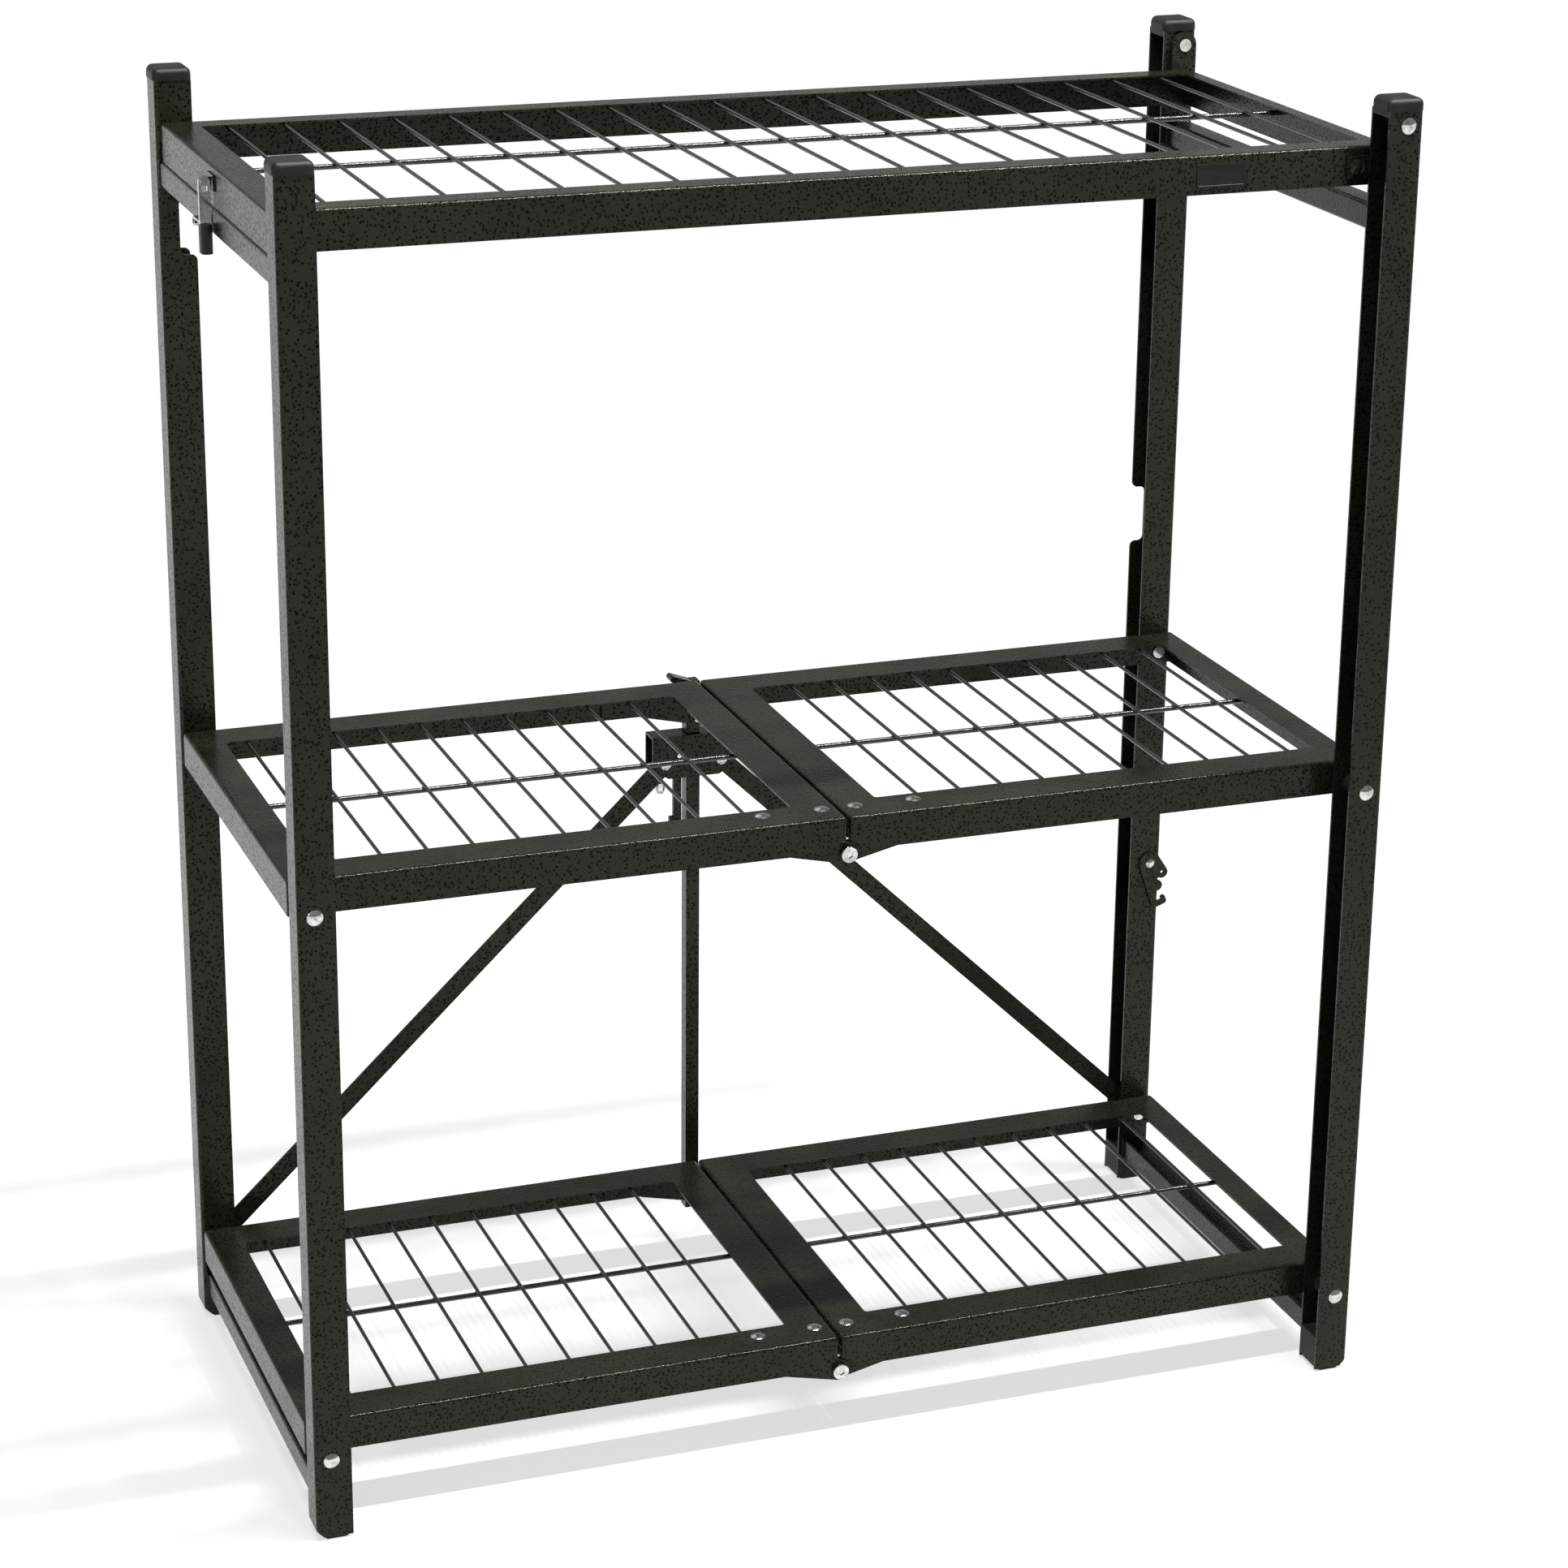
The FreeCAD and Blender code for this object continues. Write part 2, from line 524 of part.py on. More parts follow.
def slider():
    """Channel bracket that runs on the stay and carries the upper ends of the braces."""
    xs = ("-slider_half", "slider_half")
    outer = box(xs, ("slider_front", "slider_back"), ("slider_base", "slider_top"))
    hollow = box((xs[0] + "-over", xs[1] + "+over"),
                 ("slider_front+slider_sheet", "slider_back-slider_sheet"),
                 ("slider_base-over", "slider_top-slider_sheet"))
    passage = box(("-stay_side/2-slider_play", "stay_side/2+slider_play"),
                  ("stay_front-slider_play", "stay_front+stay_side+slider_play"),
                  ("slider_base", "slider_top+over"))
    bore = rod("y", "lever_pin", ("slider_front-over", "slider_back+over"), "-lever_x", "lever_level")
    return cut(outer, hollow, passage, bore, bevel_tool(-1), bevel_tool(1))


def lever():
    """Lock plate that hangs in the slider beside the stay."""
    ys = ("lever_front", "lever_front+lever_thick")
    plate = box(("-lever_x-lever_wide/2", "-lever_x+lever_wide/2"), ys, ("lever_low", "lever_level"))
    eye = rod("y", "lever_wide/2", ys, "-lever_x", "lever_level")
    toe = box(("-lever_x-lever_wide", "-lever_x+lever_wide/2"), ys, ("lever_low", "lever_low+lever_toe"))
    bore = rod("y", "lever_pin+pin_play", (ys[0] + "-over", ys[1] + "+over"), "-lever_x", "lever_level")
    return cut(fuse(plate, eye, toe), bore)


def hook():
    """Flat swinging hook: an eye, two lobes and an upturned toe under an open mouth, hanging at a tilt."""
    ys = ("0", "hook_thick")
    through = ("-over", "hook_thick+over")
    edge = "-hook_eye"
    eye = rod("y", "hook_eye", ys, "0", "0")
    blade = box((edge, edge + "+hook_neck"), ys, ("-hook_long+hook_neck/2", "0"))
    heel = rod("y", "hook_neck/2", ys, edge + "+hook_neck/2", "-hook_long+hook_neck/2")
    shoulder = box((edge, "lobe_out"), ys,
                   ("-lobe_down-hook_lobe+shoulder_in", "-lobe_down+hook_lobe-shoulder_in"))
    lobe = rod("y", "hook_lobe", ys, "lobe_out", "-lobe_down")
    cheek = box(("0", "hook_lobe"), ys, ("0", "sqrt(lobe_reach^2-(hook_eye-hook_lobe)^2)"))
    place(cheek, "lobe_out", "0", "-lobe_down", turn=FreeCAD.Rotation(Y_AXIS, -value("cheek_lean")))
    small_link = box((edge, "0"), ys, ("-small_lobe_down-small_lobe", "-lobe_down"))
    small_lobe = rod("y", "small_lobe", ys, "0", "-small_lobe_down")
    fill = box((edge, "hook_eye-fill_in"), ys, ("-lobe_down", "0"))
    foot = box((edge + "+hook_neck/2", "toe_out"), ys, ("-hook_long", "-hook_long+toe_high"))
    toe = rod("y", "toe_high/2", ys, "toe_out", "-hook_long+toe_high/2")
    tip = rod("y", "toe_tip", ys, "toe_out+toe_high/2-toe_tip", "-hook_long+toe_high+toe_rise")
    tip_root = box(("toe_out+toe_high/2-2*toe_tip", "toe_out+toe_high/2"), ys,
                   ("-hook_long+toe_high/2", "-hook_long+toe_high+toe_rise"))
    bores = [rod("y", "hook_pin+pin_play", through, "0", "0"),
             rod("y", "lobe_hole", through, "lobe_out", "-lobe_down")]
    outline = fuse(eye, blade, heel, shoulder, lobe, cheek, small_link, small_lobe, fill, foot, toe, tip_root,
                   tip)
    plate = cut(outline, *bores)
    place(plate, OUT + "-hook_inset", "hook_front", "hook_level",
          turn=FreeCAD.Rotation(Y_AXIS, -value("hook_tilt")))
    return plate


def hook_rivet():
    x = OUT + "-hook_inset"
    seat = "hook_front-side_play/2"
    wall = WALL_IN + "+post_sheet"
    return fuse(dome("-y", "hook_head", "hook_head_rise", x, seat, "hook_level"),
                rod("y", "hook_pin", (seat, wall), x, "hook_level"),
                rod("y", "hook_tail", (wall, wall + "+hook_head_rise"), x, "hook_level"))


def latch_bracket():
    """Plate with one ear on the left end of the top tray."""
    face = f"-({OUT}-top_left_inset)"
    plate = box((face + "-bracket_sheet", face), ("-bracket_half", "bracket_half"),
                ("latch_level-bracket_low", "latch_level+bracket_high"))
    ear = box((LATCH_X + "-latch_ear_out", face), ("latch_half+latch_ear_gap", "latch_ear"),
              ("latch_level-latch_ear_half", "latch_level+latch_ear_half"))
    bore = rod("y", "latch_pin", ("latch_half", "latch_ear+over"), LATCH_X, "latch_level")
    return cut(fuse(plate, ear), bore)


def latch_rod():
    """Headed pin that the lever hangs on."""
    front = "-latch_half-side_play"
    head = "latch_pin+rod_lip"
    return fuse(rod("y", head, (front + "-rod_head", front), LATCH_X, "latch_level"),
                rod("y", head, ("latch_ear", "latch_ear+rod_head"), LATCH_X, "latch_level"),
                rod("y", "latch_pin", (front, "latch_ear"), LATCH_X, "latch_level"))


def strap():
    """Zinc lever with an oblong eye, a tang for the pull and a strip that curls back above it."""
    ys = ("-latch_half", "latch_half")
    eye = rod("y", "latch_eye", ys, LATCH_X, "latch_level")
    plate = box((LATCH_X + "-latch_eye", LATCH_X + "+latch_eye"), ys, ("pull_high", "latch_level"))
    tang = box((LATCH_X + "-tang_half", LATCH_X + "+tang_half"), ys, ("strap_low", "pull_high"))
    wide = (LATCH_X + "-curl_half", LATCH_X + "+curl_half")
    top = "pull_high+curl_sheet"
    strip = box(wide, ("0", "curl_reach"), ("pull_high", top))
    curl = rod("x", "curl_radius", wide, "curl_reach", top + "-curl_radius")
    hollow = rod("x", "curl_bore", (wide[0] + "-over", wide[1] + "+over"), "curl_reach", top + "-curl_radius")
    through = ("-latch_half-over", "latch_half+over")
    play = "(latch_pin+pin_play)"
    end = "latch_level-eye_slot"
    slot = fuse(rod("y", play, through, LATCH_X, "latch_level"), rod("y", play, through, LATCH_X, end),
                box((LATCH_X + "-" + play, LATCH_X + "+" + play), through, (end, "latch_level")))
    return cut(fuse(eye, plate, tang, strip, curl), hollow, slot)


def pull():
    """Moulded sleeve over the tang of the lever."""
    grip = bend(box((LATCH_X + "-latch_eye", LATCH_X + "+latch_eye"), ("-pull_half", "pull_half"),
                    ("pull_low", "pull_high")), "pull_round", lambda edge, whole: upright(edge))
    pocket = box((LATCH_X + "-tang_half", LATCH_X + "+tang_half"), ("-latch_half", "latch_half"),
                 ("strap_low", "pull_high+over"))
    return cut(grip, pocket)


for side, name in ((-1, "left"), (1, "right")):
    node(f"{name}_front_post", post(side, -1))
    node(f"{name}_back_post", post(side, 1))
    node(f"{name}_caps", group(cap(side, -1), cap(side, 1)))
    node(f"{name}_feet", group(foot(side, -1), foot(side, 1)))
    node(f"{name}_low_tube", tube(side, "low_tube_inset", "low_tube_base"))
    node(f"{name}_high_tube", tube(side, "high_tube_inset", f"{name}_tube_base"))
    node(f"{name}_pivot_pins", group(*side_pins(side)))
    node(f"{name}_spacers", group(*side_spacers(side)))
    node(f"{name}_brace", brace(side))
    for level in ("mid", "low"):
        node(f"{level}_{name}_tray", half_tray(side, f"{level}_level"))
        node(f"{level}_{name}_wires", half_wires(side, f"{level}_level"))
        node(f"{level}_{name}_hinge_brackets",
             group(hinge_bracket(side, -1, f"{level}_level"), hinge_bracket(side, 1, f"{level}_level")))
        node(f"{level}_{name}_rivets", group(*flange_rivets(side, f"{level}_level")))

for level in ("mid", "low"):
    node(f"{level}_hinge_bolts", group(front_bolt(f"{level}_level"), back_bolt(f"{level}_level")))

top_xs = (f"-({OUT}-top_left_inset)", OUT + "-top_right_inset")
top_window = (top_xs[0] + "+flange_end", top_xs[1] + "-top_flange_right")
top_pitch = f"(({top_window[1]})-({top_window[0]}))/{TOP_WIRES}"
node("top_tray", tray(top_xs, "top_tray_drop", top_window, "shelf_half-top_flange_side", "top_level"))
node("top_wires", wire_grid([f"{top_window[0]}+{top_pitch}*({count}+0.5)" for count in range(TOP_WIRES)],
                            "shelf_half-top_flange_side+wire_lap",
                            (top_xs[0] + "+tray_sheet", top_xs[1] + "-tray_sheet"), "top_level"))
node("top_ears", group(ear(-1), ear(1)))
node("top_ear_rivets", group(ear_rivet(-1), ear_rivet(1)))

node("stay_bar", stay())
node("slider_bracket", slider())
node("slider_rivets", group(*[dome("-y", "slider_rivet", "slider_rivet_rise", on_side(side, "brace_half"),
                                   "slider_front", "brace_level") for side in (-1, 1)]))
node("slider_plunger", rod("z", "plunger_radius", ("plunger_low", "slider_top-slider_sheet"),
                           "-plunger_x", "plunger_y"))
node("lever_pin", rod("y", "lever_pin", ("slider_front", "slider_back"), "-lever_x", "lever_level"))
node("lock_lever", lever())

node("side_hook", hook())
node("hook_rivet", hook_rivet())
node("latch_bracket", latch_bracket())
node("latch_rod", latch_rod())
node("latch_strap", strap())
node("latch_pull", pull())
node("latch_stud", rod("x", "stud_radius",
                       (LATCH_X + "+latch_eye+side_play", f"-({OUT}-high_tube_inset)"),
                       "0", "left_tube_base+tube_side-stud_drop"))

doc.recompute()
failed = [item.Label for item in doc.Objects if {"Invalid", "Error"} & set(item.State)]
failed += [name for name, item in nodes.items() if item.Shape.isNull() or not item.Shape.isValid()]
if failed:
    raise RuntimeError("not built: " + ", ".join(failed))
os.makedirs("parts", exist_ok=True)
for name, item in nodes.items():
    item.Shape.exportStep(f"parts/{name}.step")
    print(f"{name}: {len(item.Shape.Solids)} solids, {item.Shape.Volume:.1f} mm3")
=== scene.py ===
"""Folding three-level steel rack: finishes, fastenings, welds, floor, light and camera."""
import logging
import math
from dataclasses import dataclass, field
from enum import Enum
from typing import Callable

import bmesh
import bpy
from mathutils import Matrix, Vector


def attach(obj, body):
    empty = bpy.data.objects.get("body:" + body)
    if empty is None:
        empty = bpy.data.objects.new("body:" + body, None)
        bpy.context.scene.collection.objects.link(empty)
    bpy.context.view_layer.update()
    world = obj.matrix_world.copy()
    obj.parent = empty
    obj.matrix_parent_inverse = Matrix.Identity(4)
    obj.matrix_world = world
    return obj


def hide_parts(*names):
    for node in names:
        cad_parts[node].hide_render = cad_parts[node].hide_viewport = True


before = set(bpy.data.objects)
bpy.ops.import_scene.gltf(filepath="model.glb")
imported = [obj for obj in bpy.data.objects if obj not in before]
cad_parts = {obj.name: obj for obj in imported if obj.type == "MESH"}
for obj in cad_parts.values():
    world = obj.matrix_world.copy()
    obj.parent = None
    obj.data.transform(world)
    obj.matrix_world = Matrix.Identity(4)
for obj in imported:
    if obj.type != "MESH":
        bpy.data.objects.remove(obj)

log = logging.getLogger("rack")

Point = tuple[float, float, float]
MM = 0.001
HALF_WIDTH = 368.5 * MM
WELD_SMOOTH = 60.0
HEXAGON = 6
# A face looks along a direction when its normal holds this share of it
LOOKS_ALONG = 0.9
# Sockets of a Mix node, which go by number because their names repeat
COLOUR_A, COLOUR_B, COLOUR_OUT = 6, 7, 2
VALUE_A, VALUE_B, VALUE_OUT = 2, 3, 0


class Slot(Enum):
    """Finish slots of the rack's record."""

    COAT = "hammer_coat"
    WIRE = "coated_wire"
    ZINC = "zinc"
    CAP = "cap_plastic"
    FOOT = "foot_plastic"


class Facing(Enum):
    """Directions that a fastening's head can face, as unit vectors."""

    FRONT = (0.0, -1.0, 0.0)
    BACK = (0.0, 1.0, 0.0)
    DOWN = (0.0, 0.0, -1.0)


def colour(code: str) -> tuple[float, float, float, float]:
    """Turn an sRGB hex colour into linear light.

    Args:
        code: Six hex digits after a hash mark.

    Returns:
        Red, green, blue and alpha in linear light.
    """
    parts = [int(code[place:place + 2], 16) / 255 for place in (1, 3, 5)]
    linear = [part / 12.92 if part <= 0.04045 else ((part + 0.055) / 1.055) ** 2.4 for part in parts]
    return linear[0], linear[1], linear[2], 1.0


def add_node(tree: bpy.types.NodeTree, kind: str, inputs: dict | None = None,
             **settings: object) -> bpy.types.Node:
    """Add a node, set it up and link it.

    Args:
        tree: Node tree that takes the node.
        kind: Blender's name of the node type.
        inputs: Socket name or number to a plain value, or to the socket that feeds it.
        **settings: Properties of the node itself.

    Returns:
        The new node.
    """
    made = tree.nodes.new(kind)
    for name, value in settings.items():
        setattr(made, name, value)
    for name, value in (inputs or {}).items():
        if isinstance(value, bpy.types.NodeSocket):
            tree.links.new(value, made.inputs[name])
        else:
            made.inputs[name].default_value = value
    return made


def set_stops(ramp: bpy.types.Node, places: tuple[float, float], codes: tuple[str, str]) -> None:
    """Give a colour ramp its two stops.

    Args:
        ramp: The colour ramp node.
        places: Position of each stop, lower first.
        codes: The stops' sRGB hex colours.
    """
    for mark, place, code in zip(ramp.color_ramp.elements, places, codes):
        mark.position = place
        mark.color = colour(code)


def empty_material(name: str) -> tuple[bpy.types.Material, bpy.types.NodeTree, bpy.types.Node]:
    """Start a node material with nothing but its output.

    Args:
        name: The material's name.

    Returns:
        The material, its node tree and the output node.
    """
    made = bpy.data.materials.new(name)
    made.use_nodes = True
    made.node_tree.nodes.clear()
    return made, made.node_tree, add_node(made.node_tree, "ShaderNodeOutputMaterial")


@dataclass(frozen=True)
class HammertonePowder:
    """Hammertone powder coat on pressed steel.

    The powder draws back into small pits as it cures, so the eye sees a dark grey-green semi-gloss skin
    sprinkled with black dots, paler at a flat angle, with a broken line of sparkle along every bend.
    """

    name: str = "hammertone_powder_coat"
    skin: str = "#1E2118"
    skin_low: str = "#161911"
    drift_mm: float = 45.0
    drift_stops: tuple[float, float] = (0.38, 0.62)
    pit: str = "#040403"
    pit_edge: tuple[float, float] = (0.2, 0.44)
    spot_pitch_mm: float = 2.5
    ragged_mm: float = 1.5
    orange_peel_mm: float = 2.2
    peel_roughness: float = 0.55
    peel_share: float = 0.65
    gloss: float = 0.2
    pit_gloss: float = 0.34
    ior: float = 1.5
    shine: float = 0.27
    glint: str = "#F0F6DE"
    pit_glint: str = "#78786E"
    bump: float = 0.7
    depth_mm: float = 0.4

    def make(self) -> bpy.types.Material:
        """Build the coat's node material.

        Returns:
            The material.
        """
        made, tree, out = empty_material(self.name)
        place = add_node(tree, "ShaderNodeTexCoord").outputs["Object"]
        # Orange peel: soft waves about two millimetres long that break every highlight
        peel = add_node(tree, "ShaderNodeTexNoise", {
            "Vector": place, "Scale": 1 / (self.orange_peel_mm * MM), "Roughness": self.peel_roughness})
        # Pits: ragged dots about a millimetre across, two and a half millimetres apart
        ragged = add_node(tree, "ShaderNodeVectorMath", {
            0: peel.outputs["Color"], 1: (self.ragged_mm * MM,) * 3, 2: place}, operation="MULTIPLY_ADD")
        cells = add_node(tree, "ShaderNodeTexVoronoi", {
            "Vector": ragged.outputs[0], "Scale": 1 / (self.spot_pitch_mm * MM)})
        pits = add_node(tree, "ShaderNodeMapRange", {
            "Value": cells.outputs["Distance"], "From Min": self.pit_edge[0], "From Max": self.pit_edge[1]})
        land = pits.outputs["Result"]
        # Skin: two close shades that drift into each other along the steel
        drift = add_node(tree, "ShaderNodeTexNoise", {"Vector": place, "Scale": 1 / (self.drift_mm * MM)})
        skin = add_node(tree, "ShaderNodeValToRGB", {"Fac": drift.outputs["Fac"]})
        set_stops(skin, self.drift_stops, (self.skin_low, self.skin))
        paint = add_node(tree, "ShaderNodeMix", {
            "Factor": land, COLOUR_A: colour(self.pit), COLOUR_B: skin.outputs["Color"]}, data_type="RGBA")
        gloss = add_node(tree, "ShaderNodeMapRange", {
            "Value": land, "To Min": self.pit_gloss, "To Max": self.gloss})
        glint = add_node(tree, "ShaderNodeMix", {
            "Factor": land, COLOUR_A: colour(self.pit_glint), COLOUR_B: colour(self.glint)}, data_type="RGBA")
        height = add_node(tree, "ShaderNodeMix", {
            "Factor": self.peel_share, VALUE_A: land, VALUE_B: peel.outputs["Fac"]}, data_type="FLOAT")
        bump = add_node(tree, "ShaderNodeBump", {
            "Strength": self.bump, "Distance": self.depth_mm * MM, "Height": height.outputs[VALUE_OUT]})
        shell = add_node(tree, "ShaderNodeBsdfPrincipled", {
            "Base Color": paint.outputs[COLOUR_OUT], "Roughness": gloss.outputs["Result"],
            "Normal": bump.outputs["Normal"], "IOR": self.ior, "Specular IOR Level": self.shine,
            "Specular Tint": glint.outputs[COLOUR_OUT]})
        tree.links.new(shell.outputs["BSDF"], out.inputs["Surface"])
        return made


@dataclass(frozen=True)
class WirePowder:
    """Powder coat on drawn wire: the same dark skin pulled smooth, with small runs that glint along it."""

    name: str = "powder_coated_wire"
    skin: str = "#171914"
    low: str = "#0A0B08"
    stops: tuple[float, float] = (0.35, 0.6)
    grain_mm: float = 1.5
    grain_detail: float = 3.0
    grain_roughness: float = 0.6
    dull: float = 0.34
    gloss: float = 0.14
    ior: float = 1.5
    shine: float = 0.8
    bump: float = 0.8
    depth_mm: float = 0.25

    def make(self) -> bpy.types.Material:
        """Build the wire coat's node material.

        Returns:
            The material.
        """
        made, tree, out = empty_material(self.name)
        place = add_node(tree, "ShaderNodeTexCoord").outputs["Object"]
        runs = add_node(tree, "ShaderNodeTexNoise", {
            "Vector": place, "Scale": 1 / (self.grain_mm * MM), "Detail": self.grain_detail,
            "Roughness": self.grain_roughness})
        paint = add_node(tree, "ShaderNodeValToRGB", {"Fac": runs.outputs["Fac"]})
        set_stops(paint, self.stops, (self.low, self.skin))
        gloss = add_node(tree, "ShaderNodeMapRange", {
            "Value": runs.outputs["Fac"], "To Min": self.dull, "To Max": self.gloss})
        bump = add_node(tree, "ShaderNodeBump", {
            "Strength": self.bump, "Distance": self.depth_mm * MM, "Height": runs.outputs["Fac"]})
        shell = add_node(tree, "ShaderNodeBsdfPrincipled", {
            "Base Color": paint.outputs["Color"], "Roughness": gloss.outputs["Result"],
            "Normal": bump.outputs["Normal"], "IOR": self.ior, "Specular IOR Level": self.shine})
        tree.links.new(shell.outputs["BSDF"], out.inputs["Surface"])
        return made


@dataclass(frozen=True)
class BrightZinc:
    """Bright zinc plate on cold-headed steel: a clean, slightly clouded shine with fine tumbling marks."""

    name: str = "bright_zinc_plate"
    face: str = "#DADBD7"
    cloud: str = "#B9BAB6"
    cloud_stops: tuple[float, float] = (0.36, 0.6)
    cloud_mm: float = 3.0
    cloud_detail: float = 3.0
    scratch_mm: float = 0.5
    dull: float = 0.16
    gloss: float = 0.09
    bump: float = 0.08
    depth_mm: float = 0.05

    def make(self) -> bpy.types.Material:
        """Build the plated metal's node material.

        Returns:
            The material.
        """
        made, tree, out = empty_material(self.name)
        place = add_node(tree, "ShaderNodeTexCoord").outputs["Object"]
        cloud = add_node(tree, "ShaderNodeTexNoise", {
            "Vector": place, "Scale": 1 / (self.cloud_mm * MM), "Detail": self.cloud_detail})
        face = add_node(tree, "ShaderNodeValToRGB", {"Fac": cloud.outputs["Fac"]})
        set_stops(face, self.cloud_stops, (self.cloud, self.face))
        marks = add_node(tree, "ShaderNodeTexNoise", {"Vector": place, "Scale": 1 / (self.scratch_mm * MM)})
        gloss = add_node(tree, "ShaderNodeMapRange", {
            "Value": cloud.outputs["Fac"], "To Min": self.dull, "To Max": self.gloss})
        bump = add_node(tree, "ShaderNodeBump", {
            "Strength": self.bump, "Distance": self.depth_mm * MM, "Height": marks.outputs["Fac"]})
        shell = add_node(tree, "ShaderNodeBsdfPrincipled", {
            "Base Color": face.outputs["Color"], "Roughness": gloss.outputs["Result"],
            "Normal": bump.outputs["Normal"], "Metallic": 1.0})
        tree.links.new(shell.outputs["BSDF"], out.inputs["Surface"])
        return made


@dataclass(frozen=True)
class MouldedPlastic:
    """Moulded polypropylene: near black, satin, with the fine even grain of a spark-eroded mould."""

    name: str = "moulded_polypropylene"
    body: str = "#10110E"
    worn: str = "#191A16"
    worn_stops: tuple[float, float] = (0.4, 0.7)
    drift_mm: float = 14.0
    drift_detail: float = 3.0
    grain_mm: float = 0.8
    smooth: float = 0.42
    rough: float = 0.56
    ior: float = 1.49
    shine: float = 0.3
    bump: float = 0.22
    depth_mm: float = 0.12

    def make(self) -> bpy.types.Material:
        """Build the plastic's node material.

        Returns:
            The material.
        """
        made, tree, out = empty_material(self.name)
        place = add_node(tree, "ShaderNodeTexCoord").outputs["Object"]
        drift = add_node(tree, "ShaderNodeTexNoise", {
            "Vector": place, "Scale": 1 / (self.drift_mm * MM), "Detail": self.drift_detail})
        body = add_node(tree, "ShaderNodeValToRGB", {"Fac": drift.outputs["Fac"]})
        set_stops(body, self.worn_stops, (self.body, self.worn))
        grain = add_node(tree, "ShaderNodeTexNoise", {"Vector": place, "Scale": 1 / (self.grain_mm * MM)})
        gloss = add_node(tree, "ShaderNodeMapRange", {
            "Value": drift.outputs["Fac"], "To Min": self.smooth, "To Max": self.rough})
        bump = add_node(tree, "ShaderNodeBump", {
            "Strength": self.bump, "Distance": self.depth_mm * MM, "Height": grain.outputs["Fac"]})
        shell = add_node(tree, "ShaderNodeBsdfPrincipled", {
            "Base Color": body.outputs["Color"], "Roughness": gloss.outputs["Result"],
            "Normal": bump.outputs["Normal"], "IOR": self.ior, "Specular IOR Level": self.shine})
        tree.links.new(shell.outputs["BSDF"], out.inputs["Surface"])
        return made


@dataclass
class FinishBook:
    """All finishes of the rack, made once."""

    coat: HammertonePowder = field(default_factory=HammertonePowder)
    wire: WirePowder = field(default_factory=WirePowder)
    zinc: BrightZinc = field(default_factory=BrightZinc)
    cap: MouldedPlastic = field(default_factory=MouldedPlastic)
    foot: MouldedPlastic = field(default_factory=lambda: MouldedPlastic(
        "moulded_foot_polypropylene", body="#171814", worn="#23241E", smooth=0.5, rough=0.64))
    made: dict[Slot, bpy.types.Material] = field(default_factory=dict)

    def build(self) -> None:
        """Make every material of the book."""
        for slot, finish in ((Slot.COAT, self.coat), (Slot.WIRE, self.wire), (Slot.ZINC, self.zinc),
                             (Slot.CAP, self.cap), (Slot.FOOT, self.foot)):
            self.made[slot] = finish.make()

    def dress_node(self, node: str, slot: Slot) -> None:
        """Put a finish on a piece that the frame brought in.

        Args:
            node: Name of the piece.
            slot: The finish it takes.
        """
        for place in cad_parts[node].material_slots:
            place.link = "OBJECT"
            place.material = self.made[slot]
        log.info("%s takes %s", node, self.made[slot].name)

    def dress_piece(self, piece: bpy.types.Object, slot: Slot) -> None:
        """Put a finish on a new piece.

        Args:
            piece: The new piece.
            slot: The finish it takes.
        """
        piece.data.materials.clear()
        piece.data.materials.append(self.made[slot])


def leave_edit() -> None:
    """Go back to object mode."""
    bpy.ops.object.mode_set(mode="OBJECT")


def clear_selection() -> None:
    """Leave edit mode and deselect everything."""
    if bpy.context.object and bpy.context.object.mode != "OBJECT":
        leave_edit()
    bpy.ops.object.select_all(action="DESELECT")


def make_active(piece: bpy.types.Object) -> None:
    """Select one object alone and make it active."""
    clear_selection()
    piece.select_set(True)
    bpy.context.view_layer.objects.active = piece


def edit_all() -> None:
    """Put the active object into edit mode with everything selected."""
    bpy.ops.object.mode_set(mode="EDIT")
    bpy.ops.mesh.select_all(action="SELECT")


def settle() -> None:
    """Move the active object's place, turn and size into its mesh."""
    bpy.ops.object.transform_apply(location=True, rotation=True, scale=True)


def cylinder(name: str, radius: float, length: float, middle: Point, facing: Facing,
             sides: int) -> bpy.types.Object:
    """Add a cylinder with its axis along a direction.

    Args:
        name: Name of the new object.
        radius: Radius in metres.
        length: Length in metres.
        middle: Its middle.
        facing: Direction of its top.
        sides: Number of side faces.

    Returns:
        The new object, its place already in the mesh.
    """
    clear_selection()
    turn = Vector((0, 0, 1)).rotation_difference(Vector(facing.value)).to_euler()
    bpy.ops.mesh.primitive_cylinder_add(vertices=sides, radius=radius, depth=length, location=middle,
                                        rotation=turn)
    piece = bpy.context.object
    piece.name = name
    settle()
    return piece


def select_faces(piece: bpy.types.Object, test: Callable[[Vector], bool]) -> None:
    """Select faces of a piece in edit mode by their normal.

    Args:
        piece: The object, which is put into edit mode.
        test: Called with a face's normal.
    """
    if piece.mode != "EDIT":
        make_active(piece)
        bpy.ops.object.mode_set(mode="EDIT")
    bpy.ops.mesh.select_mode(type="FACE")
    bpy.ops.mesh.select_all(action="DESELECT")
    cage = bmesh.from_edit_mesh(piece.data)
    for face in cage.faces:
        face.select_set(test(face.normal))
    cage.select_flush_mode()
    bmesh.update_edit_mesh(piece.data)


def grow(step: Point, scale: float = 1.0) -> None:
    """Extrude the selected faces by a step and resize their new rim about its own middle.

    Args:
        step: How far the faces move.
        scale: Size of the new faces against the old.
    """
    bpy.ops.mesh.extrude_region_move(TRANSFORM_OT_translate={"value": step})
    if scale != 1.0:
        bpy.ops.transform.resize(value=(scale, scale, scale))


